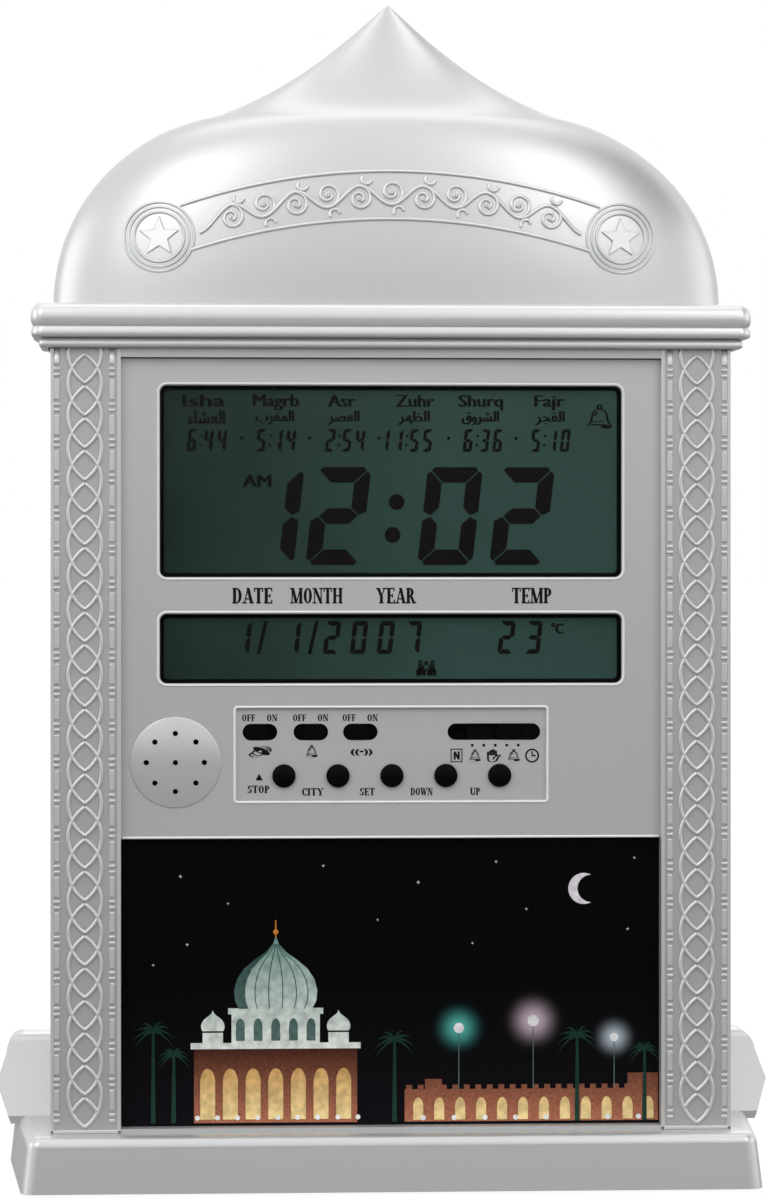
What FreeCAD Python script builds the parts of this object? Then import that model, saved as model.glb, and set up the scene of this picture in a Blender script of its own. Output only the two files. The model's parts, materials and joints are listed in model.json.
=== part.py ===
"""Desk prayer clock with an onion dome, two LCDs, a control strip and a picture, in millimetres.

+Z is up, the front faces -Y, and +X is to the right as seen from the front. The origin lies under
the middle of the base, on the table. Each function makes one piece, or one group of like pieces.
"""
import FreeCAD, Part
import math
import os

Vector = FreeCAD.Vector

# ---------------------------------------------------------------- driving sizes (mm)
# stand: a flared plinth with a raised hump behind the case, closed by a plate on rubber feet
BASE_DEPTH = 84.0
BASE_TOP = 17.3
BASE_FRONT_WIDTH = 216.4
BASE_REAR_WIDTH = 229.4
BASE_DRAFT = 1.8
BASE_FRONT_RADIUS = 4.0
BASE_REAR_RADIUS = 12.0
BASE_EDGE = 3.2
BASE_WALL = 2.4
BASE_PLATE = 2.0
HUMP_WAIST_Z = 15.0
HUMP_RIDGE_Z = 26.6
HUMP_TOP = 40.3
HUMP_BULGE = 2.6
HUMP_DEPTH = 34.0
HUMP_SLOPE_RUN = 16.0
HUMP_CORNER = 5.5
FOOT_RADIUS = 6.0
FOOT_HEIGHT = 2.0
FOOT_PROUD = 1.0
FOOT_INSET_X = 24.0
FOOT_INSET_Y = 13.0
PLATE_SCREW_INSET_X = 30.3
PLATE_SCREW_INSET_Y = 25.2

# case: front shell with two pillars, and a rear cover that meets it at the seam
CASE_WIDTH = 200.0
CASE_SETBACK = 10.0
FRONT_SHELL_DEPTH = 24.0
REAR_COVER_DEPTH = 23.0
CASE_WALL = 2.4
FRONT_WALL = 3.0
CASE_FLOOR = 1.3
PILLAR_WIDTH = 20.6
HEADER = 2.6
BOSS_RADIUS = 3.6
BOSS_INSET = 11.4
COLUMN_RADIUS = 4.6
CASE_SCREW_RISE = 27.6
CASE_SCREW_DROP = 23.0
STAND_SCREW_X = 40.0
STAND_SCREW_DEPTH = 12.6

# cornice: a big bead, a small bead and a cove, run round the whole case
CORNICE_OVERHANG = 6.0
CORNICE_CORNER = 4.0
BIG_BEAD = 6.4
SMALL_BEAD = 2.9
SMALL_BEAD_INSET = 0.6
COVE = 3.7
COVE_TOP_INSET = 2.0
COVE_FOOT = 0.6
DECK = 2.4
DECK_SCREW_X = 60.0

# dome: ogee outline, flattened from front to back
DOME_WIDTH = 199.4
DOME_RISE = 91.0
DOME_FRONT_DEPTH = 24.0
DOME_REAR_DEPTH = 18.0
DOME_WALL = 2.2
SHOULDER_HANDLE = 32.7
INFLECTION_X = 55.0
INFLECTION_RISE = 57.0
INFLECTION_ANGLE = 14.8
INFLECTION_HANDLE_LOW = 21.8
INFLECTION_HANDLE_HIGH = 28.4
TIP_HANDLE = 13.0
TIP_ANGLE = 40.0
DOME_SCREW_X = 49.8
DOME_SCREW_RISE = 30.3

# raised work on the dome: an arched band between two star medallions
RELIEF = 0.6
LINE = 1.0
MEDALLION_X = 68.3
MEDALLION_RISE = 20.2
MEDALLION_RADIUS = 10.7
STAR_RADIUS = 6.0
STAR_POINTS = 5
STAR_WAIST = 0.45
STAR_LINE = 0.8
BAND_CROWN_TOP = 40.0
BAND_END_TOP = 27.8
BAND_HEIGHT = 15.3

# front panel: the stack of heights from the picture up
PANEL_WALL = 2.5
PANEL_EDGE = 4.0
PICTURE_HEIGHT = 84.5
PICTURE_DEPTH = 2.0
PICTURE_CARD = 0.8
PICTURE_TRAY = 1.8
PICTURE_TO_CONTROLS = 11.2
CONTROL_HEIGHT = 27.0
CONTROLS_TO_DATE = 7.5
DATE_HEIGHT = 20.3
DATE_TO_TIME = 10.9
TIME_HEIGHT = 56.2
TIME_TO_HEADER = 8.2
WINDOW_WIDTH = 136.0
WINDOW_RADIUS = 2.0
CONTROL_WIDTH = 91.2
CONTROL_RECESS = 1.0
STAKE_RADIUS = 1.5
STAKE_HEAD = 2.6
STAKE_RISES = (68.9, 151.6)
EAR_REACH = 3.5

# displays: clear window, LCD glass, holder, rubber connector strips and main board
LENS_THICK = 1.2
LENS_LAP = 1.5
LCD_THICK = 2.8
LCD_LAP = 3.0
HOLDER_WALL = 2.0
ZEBRA_WIDTH = 2.0
ZEBRA_HEIGHT = 3.2
BOARD = 1.6
BOARD_MARGIN = 5.5
BOARD_SCREW_RADIUS = 1.1
BOARD_BOSS_RADIUS = 2.3
CHIP_SIZE = 14.0
CHIP_THICK = 2.2
MEMORY_SIZE = 8.0
MEMORY_THICK = 1.8
CAPACITOR_RADIUS = 2.5
CAPACITOR_HEIGHT = 6.0
CRYSTAL_RADIUS = 1.5
CRYSTAL_HEIGHT = 5.0
SENSOR_X = 54.4
SENSOR_RADIUS = 1.6
SENSOR_STAND = 6.0
SENSOR_WIRE = 0.3
RIBBON_WIDTH = 20.0
RIBBON_THICK = 1.0
RIBBON_LAP = 4.0

# controls
BUTTON_RADIUS = 3.35
BUTTON_PITCH = 15.9
BUTTON_CENTRE_X = 0.2
BUTTON_ROW = 7.2
BUTTON_PROUD = 2.0
BUTTON_CROWN = 0.9
BUTTON_FLANGE = 1.0
BUTTON_TRAVEL = 0.8
BUTTON_STEM_RADIUS = 1.5
SWITCH_ROW = 20.1
SLIDE_SLOT_LENGTH = 10.2
SLIDE_SLOT_HEIGHT = 4.9
SLIDE_TRAVEL = 2.0
SLIDE_X = (-38.65, -23.7, -9.1)
SLIDE_SET = (0, 1, 0)
MODE_SLOT_LENGTH = 27.4
MODE_STOPS = 5
MODE_PITCH = 3.4
MODE_X = 30.3
SLIDE_KNOB_PROUD = 0.4
SLIDE_END_GAP = 0.6
SKIRT_LAP = 0.9
SWITCH_BODY_DEPTH = 3.5
SWITCH_LEVER = 1.6
SWITCH_BOARD_WIDTH = 100.0
SWITCH_SCREW_INSET = 0.5
GROOVE_PITCH = 1.4
GROOVE = 0.6
TACT_SIZE = 6.0

# loudspeaker behind a bulged boss with a ring of sound holes
SPEAKER_X = -63.5
SPEAKER_RISE = 11.3
SPEAKER_BOSS_RADIUS = 13.3
SPEAKER_BULGE = 1.6
SPEAKER_RADIUS = 13.5
SPEAKER_RIM = 1.2
SPEAKER_WALL = 1.5
SPEAKER_SHEET = 1.0
SPEAKER_CONE = 0.4
SPEAKER_BASKET = 4.5
SPEAKER_MAGNET_RADIUS = 8.0
SPEAKER_MAGNET = 4.0
SOUND_HOLE_RADIUS = 0.85
SOUND_HOLE_RING = 8.5
SOUND_HOLES = 8

# battery bay in the rear cover, for three AA cells
CELL_RADIUS = 7.1
CELL_LENGTH = 50.0
CELL_NUB = 1.2
CELL_NUB_RADIUS = 2.7
CELL_PITCH = 15.0
CELLS = 3
BAY_RISE = 110.0
BAY_WALL = 2.4
BAY_END_ROOM = 3.2
DOOR_THICK = 2.0
DOOR_LAP = 1.6
DOOR_TAB = 3.0
DOOR_TAB_THICK = 1.4
DOOR_GRIP_RADIUS = 5.0
DOOR_GRIP_DEPTH = 0.7
GRIP_RIDGE_HALF = 3.0
GRIP_RIDGE_PITCH = 2.4
GRIP_RIDGE = 1.0
SPRING_WIRE = 0.4
SPRING_WIDE = 4.3
SPRING_NARROW = 2.5
CONTACT = 0.4
CONTACT_HALF = 5.0
DIMPLE_HALF = 2.0

# flat twin leads from the battery bay and the loudspeaker to the main board
LEAD_WIDTH = 2.6
LEAD_THICK = 1.3
LEAD_BEND_SHARE = 0.45
LEAD_STEP = 6.0
LEAD_LOOP = 8.0
BATTERY_LEAD_RISE = 9.0
BATTERY_SOLDER_RISE = 23.5
SPEAKER_SOLDER_RISE = 8.0

# screws
SCREW_RADIUS = 1.5
SCREW_LENGTH = 12.0
SCREW_HEAD_RADIUS = 2.8
SCREW_HEAD = 2.0
SHORT_SCREW_LENGTH = 6.0

# flat sides of a small or hidden round bar or hole
HIDDEN_SIDES = 6

# clearances
FIT = 0.05
RUNNING = 0.1
SLOT_GAP = 0.25
SEAT_GAP = 0.1

# ---------------------------------------------------------------- planes and heights that follow
FOOT_FRONT = -BASE_DEPTH / 2
BASE_BACK = BASE_DEPTH / 2
CASE_FRONT = FOOT_FRONT + CASE_SETBACK
SEAM = CASE_FRONT + FRONT_SHELL_DEPTH
CASE_BACK = SEAM + REAR_COVER_DEPTH
PANEL_FRONT = CASE_FRONT + FRONT_WALL
PANEL_BACK = PANEL_FRONT + PANEL_WALL
LCD_BACK = PANEL_BACK + LCD_THICK
BOARD_FRONT = LCD_BACK + ZEBRA_HEIGHT
SWITCH_FRONT = PANEL_BACK + SEAT_GAP + BUTTON_FLANGE + BUTTON_TRAVEL + 2 * SEAT_GAP
SWITCH_BOARD_FRONT = SWITCH_FRONT + SWITCH_BODY_DEPTH

CASE_HALF = CASE_WIDTH / 2
OPENING_HALF = CASE_HALF - PILLAR_WIDTH
PANEL_HALF = OPENING_HALF + PANEL_EDGE
WINDOW_HALF = WINDOW_WIDTH / 2
CONTROL_HALF = CONTROL_WIDTH / 2
LCD_HALF = WINDOW_HALF + LCD_LAP
BOARD_HALF = LCD_HALF + BOARD_MARGIN
BOSS_X = CASE_HALF - BOSS_INSET

PICTURE_BOTTOM = BASE_TOP + CASE_FLOOR
PICTURE_TOP = PICTURE_BOTTOM + PICTURE_HEIGHT
CONTROL_BOTTOM = PICTURE_TOP + PICTURE_TO_CONTROLS
CONTROL_TOP = CONTROL_BOTTOM + CONTROL_HEIGHT
DATE_BOTTOM = CONTROL_TOP + CONTROLS_TO_DATE
DATE_TOP = DATE_BOTTOM + DATE_HEIGHT
TIME_BOTTOM = DATE_TOP + DATE_TO_TIME
TIME_TOP = TIME_BOTTOM + TIME_HEIGHT
OPENING_TOP = TIME_TOP + TIME_TO_HEADER
CASE_TOP = OPENING_TOP + HEADER
CORNICE_HEIGHT = BIG_BEAD + SMALL_BEAD + COVE
DOME_FOOT = CASE_TOP + CORNICE_HEIGHT
BUTTON_Z = CONTROL_BOTTOM + BUTTON_ROW
SWITCH_Z = CONTROL_BOTTOM + SWITCH_ROW
SPEAKER_Z = CONTROL_BOTTOM + SPEAKER_RISE
BAY_Z = BASE_TOP + BAY_RISE
DOOR_INNER = CASE_BACK - DOOR_THICK
BAY_HALF_X = CELL_LENGTH / 2 + BAY_END_ROOM
BAY_HALF_Z = CELLS * CELL_PITCH / 2 + SEAT_GAP
BAY_FLOOR = DOOR_INNER - 2 * CELL_RADIUS - 2 * SEAT_GAP

BUTTON_NAMES = ("stop", "city", "set", "down", "up")
SLIDER_NAMES = ("left", "middle", "right")
CELL_NAMES = ("lower", "middle", "upper")


# ---------------------------------------------------------------- shared shapes
def block(x0, x1, y0, y1, z0, z1):
    return Part.makeBox(x1 - x0, y1 - y0, z1 - z0, Vector(x0, y0, z0))


def rod(radius, x, z, y0, y1):
    """Round bar along Y."""
    return Part.makeCylinder(radius, y1 - y0, Vector(x, y0, z), Vector(0, 1, 0))


def post(radius, x, y, z0, z1):
    """Round bar along Z."""
    return Part.makeCylinder(radius, z1 - z0, Vector(x, y, z0))


def facet_ring(radius):
    """Corners of the few-sided outline that small or hidden round bars and holes are drawn with."""
    steps = [2 * math.pi * i / HIDDEN_SIDES for i in range(HIDDEN_SIDES)]
    return [(radius * math.cos(angle), radius * math.sin(angle)) for angle in steps]


def hidden_rod(radius, x, z, y0, y1):
    """Small or hidden bar along Y, with few flat sides."""
    corners = [Vector(x + across, y0, z + up) for across, up in facet_ring(radius)]
    return prism(corners, Vector(0, y1 - y0, 0))


def hidden_post(radius, x, y, z0, z1):
    """Small or hidden bar along Z, with few flat sides."""
    corners = [Vector(x + across, y + along, z0) for across, along in facet_ring(radius)]
    return prism(corners, Vector(0, 0, z1 - z0))


def union(shapes):
    whole = shapes[0]
    if len(shapes) > 1:
        whole = whole.fuse(shapes[1:])
    return whole.removeSplitter()


def less(shape, cutters):
    return shape.cut(cutters) if cutters else shape


def edges_along(shape, direction):
    chosen = []
    for edge in shape.Edges:
        if len(edge.Vertexes) == 2:
            run = edge.Vertexes[1].Point - edge.Vertexes[0].Point
            if run.Length > 0 and abs(run.normalize().dot(direction)) > 0.999:
                chosen.append(edge)
    return chosen


def rounded_plate(half, z0, z1, y0, y1, radius):
    """Plate that faces the front, with round corners."""
    plate = block(-half, half, y0, y1, z0, z1)
    return plate.makeFillet(radius, edges_along(plate, Vector(0, 1, 0)))


def stadium(x, z, length, height, y0, y1):
    """Slot shape with round ends along X, as deep as y0 to y1."""
    radius = height / 2
    flat = length / 2 - radius
    low_left = Vector(x - flat, y0, z - radius)
    low_right = Vector(x + flat, y0, z - radius)
    top_right = Vector(x + flat, y0, z + radius)
    top_left = Vector(x - flat, y0, z + radius)
    right_end = Part.Arc(low_right, Vector(x + length / 2, y0, z), top_right)
    left_end = Part.Arc(top_left, Vector(x - length / 2, y0, z), low_left)
    wire = Part.Wire([
        Part.LineSegment(low_left, low_right).toShape(),
        right_end.toShape(),
        Part.LineSegment(top_right, top_left).toShape(),
        left_end.toShape(),
    ])
    return Part.Face(wire).extrude(Vector(0, y1 - y0, 0))


def prism(points, direction):
    """Solid swept along direction from a flat outline of corner points."""
    return Part.Face(Part.makePolygon(points + [points[0]])).extrude(direction)


def mirrored_pair(x, z_values):
    return [(side * x, z) for side in (-1, 1) for z in z_values]


# ---------------------------------------------------------------- dome
def ogee_face(half_width, rise):
    """Right half of the onion outline: convex shoulder, then a hollow neck up to the point."""
    inner_offset = DOME_WIDTH / 2 - half_width
    foot = Vector(half_width, 0, 0)
    tip = Vector(0, 0, rise)
    turn = math.radians(INFLECTION_ANGLE)
    lean = Vector(-math.cos(turn), 0, math.sin(turn))
    bend = Vector(INFLECTION_X - inner_offset * math.sin(turn),
                  0,
                  INFLECTION_RISE - inner_offset * math.cos(turn))
    point = math.radians(TIP_ANGLE)
    approach = Vector(-math.cos(point), 0, math.sin(point))
    shoulder = Part.BezierCurve()
    shoulder.setPoles([foot, foot + Vector(0, 0, SHOULDER_HANDLE),
                       bend - lean * INFLECTION_HANDLE_LOW, bend])
    neck = Part.BezierCurve()
    neck.setPoles([bend, bend + lean * INFLECTION_HANDLE_HIGH, tip - approach * TIP_HANDLE, tip])
    wire = Part.Wire([
        Part.LineSegment(Vector(0, 0, 0), foot).toShape(),
        shoulder.toShape(),
        neck.toShape(),
        Part.LineSegment(tip, Vector(0, 0, 0)).toShape(),
    ])
    return Part.Face(wire)


def dome_half(offset, depth, towards_back):
    """Half an onion dome, standing on the cornice at the seam, grown outwards by offset."""
    half_width = DOME_WIDTH / 2 + offset
    rise = DOME_RISE + offset / math.cos(math.radians(TIP_ANGLE))
    turn = 180 if towards_back else -180
    solid = ogee_face(half_width, rise).revolve(Vector(0, 0, 0), Vector(0, 0, 1), turn)
    flatten = FreeCAD.Matrix()
    flatten.scale(1, (depth + offset) / half_width, 1)
    solid = solid.transformGeometry(flatten)
    solid.translate(Vector(0, SEAM, DOME_FOOT))
    return solid


def ring_prism(x, z, outer, inner, y0, y1):
    return rod(outer, x, z, y0, y1).cut(rod(inner, x, z, y0, y1))


def star_points(radius, y):
    """Corner points of a star that stands on two of its points."""
    corners = []
    for step in range(2 * STAR_POINTS):
        reach = radius if step % 2 == 0 else radius * STAR_WAIST
        angle = math.pi / 2 + step * math.pi / STAR_POINTS
        corners.append(Vector(reach * math.cos(angle), y, reach * math.sin(angle)))
    return corners


def band_slab(crown, end, half, y0, y1):
    """Area under an arch that peaks at crown over the middle and falls to end at half."""
    middle = Vector(0, y0, DOME_FOOT + crown)
    left = Vector(-half, y0, DOME_FOOT + end)
    right = Vector(half, y0, DOME_FOOT + end)
    wire = Part.Wire([
        Part.Arc(left, middle, right).toShape(),
        Part.LineSegment(right, Vector(half, y0, DOME_FOOT)).toShape(),
        Part.LineSegment(Vector(half, y0, DOME_FOOT), Vector(-half, y0, DOME_FOOT)).toShape(),
        Part.LineSegment(Vector(-half, y0, DOME_FOOT), left).toShape(),
    ])
    return Part.Face(wire).extrude(Vector(0, y1 - y0, 0))


def band_line(drop, y0, y1):
    """One raised line of the band, drop below its upper border."""
    half = MEDALLION_X
    outer = band_slab(BAND_CROWN_TOP - drop, BAND_END_TOP - drop, half, y0, y1)
    inner = band_slab(BAND_CROWN_TOP - drop - LINE, BAND_END_TOP - drop - LINE, half, y0, y1)
    return outer.cut(inner)


def dome_relief():
    """Raised lines of the band and medallions, as deep as the raised skin they are cut from."""
    y0 = SEAM - DOME_FRONT_DEPTH - RELIEF
    y1 = SEAM
    lines = []
    discs = []
    for side in (-1, 1):
        x = side * MEDALLION_X
        z = DOME_FOOT + MEDALLION_RISE
        lines.append(ring_prism(x, z, MEDALLION_RADIUS, MEDALLION_RADIUS - LINE, y0, y1))
        star = prism(star_points(STAR_RADIUS, y0), Vector(0, y1 - y0, 0))
        heart = prism(star_points(STAR_RADIUS - 2 * STAR_LINE, y0), Vector(0, y1 - y0, 0))
        outline = star.cut(heart)
        outline.translate(Vector(x, 0, z))
        lines.append(outline)
        discs.append(rod(MEDALLION_RADIUS - LINE, x, z, y0, y1))
    borders = union([band_line(0, y0, y1), band_line(BAND_HEIGHT - LINE, y0, y1)] + discs)
    lines.append(less(borders, discs))
    return dome_half(RELIEF, DOME_FRONT_DEPTH, False).common(union(lines))


def dome_screw_places():
    return mirrored_pair(DOME_SCREW_X, [DOME_FOOT + DOME_SCREW_RISE])


def dome_shell():
    outer = dome_half(0, DOME_FRONT_DEPTH, False)
    inner = dome_half(-DOME_WALL, DOME_FRONT_DEPTH, False)
    bosses = [hidden_rod(BOSS_RADIUS, x, z, SEAM - DOME_FRONT_DEPTH, SEAM)
              for x, z in dome_screw_places()]
    bosses = [boss.common(outer) for boss in bosses]
    carved = outer.fuse(dome_relief())
    shell = union([carved.cut(inner)] + bosses)
    pilots = [hidden_rod(SCREW_RADIUS + FIT, x, z, SEAM - SCREW_LENGTH, SEAM)
              for x, z in dome_screw_places()]
    return less(shell, pilots)


# ---------------------------------------------------------------- cornice
def cornice_slab(z0, z1, overhang, corner):
    """Slab that stands out round the whole case by overhang, with round upright corners."""
    half = CASE_HALF + overhang
    slab = block(-half, half, CASE_FRONT - overhang, CASE_BACK + overhang, z0, z1)
    return slab.makeFillet(corner, edges_along(slab, Vector(0, 0, 1)))


def bead(z0, z1, overhang, corner):
    """Half-round moulding between two heights."""
    slab = cornice_slab(z0, z1, overhang, corner)
    rims = [edge for edge in slab.Edges if abs(edge.BoundBox.ZMax - edge.BoundBox.ZMin) < 0.001]
    return slab.makeFillet((z1 - z0) / 2 - FIT, rims)


def cove(z0, z1):
    """Hollow moulding under the beads: a quarter-round hollow in two steps of a loft."""
    top = CORNICE_OVERHANG - COVE_TOP_INSET
    half_way = 1 - math.cos(math.pi / 4)
    middle = COVE_FOOT + (top - COVE_FOOT) * half_way
    sections = []
    for z, reach in ((z0, COVE_FOOT), (z0 + (z1 - z0) * half_way, middle), (z1, top)):
        corner = max(CORNICE_CORNER - CORNICE_OVERHANG + reach, COVE_FOOT)
        slab = cornice_slab(z - DECK, z, reach, corner)
        lid = [face for face in slab.Faces if face.normalAt(0, 0).z > 0.999][0]
        sections.append(lid.OuterWire)
    return Part.makeLoft(sections, True, True)


def cornice_solid():
    big_z = DOME_FOOT - BIG_BEAD
    small_z = big_z - SMALL_BEAD
    big = bead(big_z, DOME_FOOT, CORNICE_OVERHANG, CORNICE_CORNER)
    small_reach = CORNICE_OVERHANG - SMALL_BEAD_INSET
    small = bead(small_z, big_z, small_reach, CORNICE_CORNER - SMALL_BEAD_INSET)
    core_reach = CORNICE_OVERHANG - COVE_TOP_INSET
    core = cornice_slab(small_z, DOME_FOOT, core_reach, CORNICE_CORNER - COVE_TOP_INSET)
    return union([big, small, core, cove(CASE_TOP, small_z)])


def deck_screw_places():
    return [(side * DECK_SCREW_X, CASE_FRONT + FRONT_SHELL_DEPTH / 2) for side in (-1, 1)]


def cornice():
    """Front part of the moulding, closed on top by the deck that carries the dome."""
    wall = CASE_WALL
    inside = block(-CASE_HALF + wall, CASE_HALF - wall, CASE_FRONT + wall, SEAM,
                   CASE_TOP, DOME_FOOT - DECK)
    front = block(-CASE_WIDTH, CASE_WIDTH, FOOT_FRONT - BASE_DEPTH, SEAM, CASE_TOP, DOME_FOOT)
    shell = cornice_solid().common(front).cut(inside)
    bosses = [hidden_post(BOSS_RADIUS, x, y, CASE_TOP, DOME_FOOT - DECK)
              for x, y in deck_screw_places()]
    pilots = [hidden_post(SCREW_RADIUS + FIT, x, y, CASE_TOP, CASE_TOP + SHORT_SCREW_LENGTH)
              for x, y in deck_screw_places()]
    return less(union([shell] + bosses), pilots)


# ---------------------------------------------------------------- case
def case_screw_places():
    low = BASE_TOP + CASE_SCREW_RISE
    high = CASE_TOP - CASE_SCREW_DROP
    return mirrored_pair(BOSS_X, [low, (BASE_TOP + CASE_TOP) / 2, high])


def stake_places():
    return mirrored_pair(BOSS_X, [BASE_TOP + rise for rise in STAKE_RISES])


def stand_screw_places():
    return [(side * STAND_SCREW_X, SEAM + STAND_SCREW_DEPTH) for side in (-1, 1)]


def front_case():
    """Front shell: the two pillars, the thin sill and the header in one moulding."""
    outer = block(-CASE_HALF, CASE_HALF, CASE_FRONT, SEAM, BASE_TOP, CASE_TOP)
    inside = block(-CASE_HALF + CASE_WALL, CASE_HALF - CASE_WALL, PANEL_FRONT, SEAM,
                   PICTURE_BOTTOM, CASE_TOP - CASE_WALL)
    opening = block(-OPENING_HALF, OPENING_HALF, CASE_FRONT, PANEL_FRONT, PICTURE_BOTTOM, OPENING_TOP)
    bosses = [hidden_rod(BOSS_RADIUS, x, z, PANEL_FRONT, SEAM) for x, z in case_screw_places()]
    stakes = []
    for x, z in stake_places():
        stakes.append(hidden_rod(STAKE_RADIUS, x, z, PANEL_FRONT, PANEL_BACK + STAKE_RADIUS))
        stakes.append(hidden_rod(STAKE_HEAD, x, z, PANEL_BACK, PANEL_BACK + STAKE_RADIUS))
    shell = union([less(outer, [inside, opening])] + bosses + stakes)
    pilots = [hidden_rod(SCREW_RADIUS + FIT, x, z, SEAM - SCREW_LENGTH, SEAM)
              for x, z in case_screw_places()]
    deck_holes = [hidden_post(SCREW_RADIUS + FIT, x, y, CASE_TOP - CASE_WALL, CASE_TOP)
                  for x, y in deck_screw_places()]
    return less(shell, pilots + deck_holes)


def rear_cover():
    """Rear shell with the battery bay, the back of the cornice and the back of the dome."""
    wall = CASE_WALL
    box = block(-CASE_HALF, CASE_HALF, SEAM, CASE_BACK, BASE_TOP, CASE_TOP)
    behind = block(-CASE_WIDTH, CASE_WIDTH, SEAM, CASE_BACK + BASE_DEPTH, CASE_TOP, DOME_FOOT)
    crown = cornice_solid().common(behind)
    dome = dome_half(0, DOME_REAR_DEPTH, True)
    outer = union([box, crown, dome])
    room = block(-CASE_HALF + wall, CASE_HALF - wall, SEAM, CASE_BACK - wall,
                 BASE_TOP + wall, DOME_FOOT - DECK)
    # the dome's room is cut apart from the box's, so that the deck closes both
    dome_room = dome_half(-DOME_WALL, DOME_REAR_DEPTH, True)
    bay_outer = block(-BAY_HALF_X - BAY_WALL, BAY_HALF_X + BAY_WALL, BAY_FLOOR - BAY_WALL,
                      DOOR_INNER, BAY_Z - BAY_HALF_Z - BAY_WALL, BAY_Z + BAY_HALF_Z + BAY_WALL)
    bay = block(-BAY_HALF_X, BAY_HALF_X, BAY_FLOOR, CASE_BACK, BAY_Z - BAY_HALF_Z, BAY_Z + BAY_HALF_Z)
    door_hole = block(-BAY_HALF_X - DOOR_LAP, BAY_HALF_X + DOOR_LAP, DOOR_INNER, CASE_BACK,
                      BAY_Z - BAY_HALF_Z - DOOR_LAP, BAY_Z + BAY_HALF_Z + DOOR_LAP)
    columns = [hidden_rod(COLUMN_RADIUS, x, z, SEAM, CASE_BACK) for x, z in case_screw_places()]
    dome_columns = [hidden_rod(COLUMN_RADIUS, x, z, SEAM, CASE_BACK).common(dome)
                    for x, z in dome_screw_places()]
    shell = union([less(outer, [room, dome_room]), bay_outer] + columns + dome_columns)
    cutters = [bay, door_hole]
    for x, z in case_screw_places() + dome_screw_places():
        cutters.append(hidden_rod(SCREW_RADIUS + FIT, x, z, SEAM, CASE_BACK))
        cutters.append(hidden_rod(SCREW_HEAD_RADIUS + SLOT_GAP, x, z, SEAM + CASE_WALL, CASE_BACK))
    for x, y in stand_screw_places():
        cutters.append(hidden_post(SCREW_RADIUS + FIT, x, y, BASE_TOP, BASE_TOP + wall))
    for side in (-1, 1):
        x = side * BAY_HALF_X / 2
        cutters.append(block(x - DOOR_TAB - SLOT_GAP, x + DOOR_TAB + SLOT_GAP,
                             DOOR_INNER - 2 * DOOR_THICK, DOOR_INNER,
                             BAY_Z - BAY_HALF_Z - DOOR_LAP - DOOR_TAB, BAY_Z - BAY_HALF_Z))
    return less(shell, cutters)


# ---------------------------------------------------------------- stand
def plan_outline(z, front_half, rear_half, front_y, back_y, front_radius, rear_radius):
    """Trapezoid in plan with round corners, as a wire at height z."""
    corners = [Vector(-front_half, front_y, z), Vector(front_half, front_y, z),
               Vector(rear_half, back_y, z), Vector(-rear_half, back_y, z)]
    radii = [front_radius, front_radius, rear_radius, rear_radius]
    edges = []
    ends = []
    for i, corner in enumerate(corners):
        back = (corners[i - 1] - corner).normalize()
        ahead = (corners[(i + 1) % 4] - corner).normalize()
        half_turn = back.getAngle(ahead) / 2
        run = radii[i] / math.tan(half_turn)
        start = corner + back * run
        end = corner + ahead * run
        middle_way = (back + ahead).normalize()
        middle = corner + middle_way * (radii[i] / math.sin(half_turn) - radii[i])
        ends.append((start, middle, end))
    for i, (start, middle, end) in enumerate(ends):
        edges.append(Part.Arc(start, middle, end).toShape())
        edges.append(Part.LineSegment(end, ends[(i + 1) % 4][0]).toShape())
    return Part.Wire(edges)


def plinth(inset, z0, z1):
    """Flared low block of the stand, drawn in by inset all round."""
    flare = (BASE_REAR_WIDTH - BASE_FRONT_WIDTH) / 2
    least = BASE_FRONT_RADIUS / 4
    sections = []
    for z in (z0, z1):
        draw_in = inset + BASE_DRAFT * (z - FOOT_PROUD) / (BASE_TOP - FOOT_PROUD)
        front_half = BASE_FRONT_WIDTH / 2 - draw_in
        sections.append(plan_outline(z, front_half, front_half + flare,
                                     FOOT_FRONT + draw_in, BASE_BACK - draw_in,
                                     max(BASE_FRONT_RADIUS - inset, least),
                                     max(BASE_REAR_RADIUS - inset, least)))
    return Part.makeLoft(sections, True, True)


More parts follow.
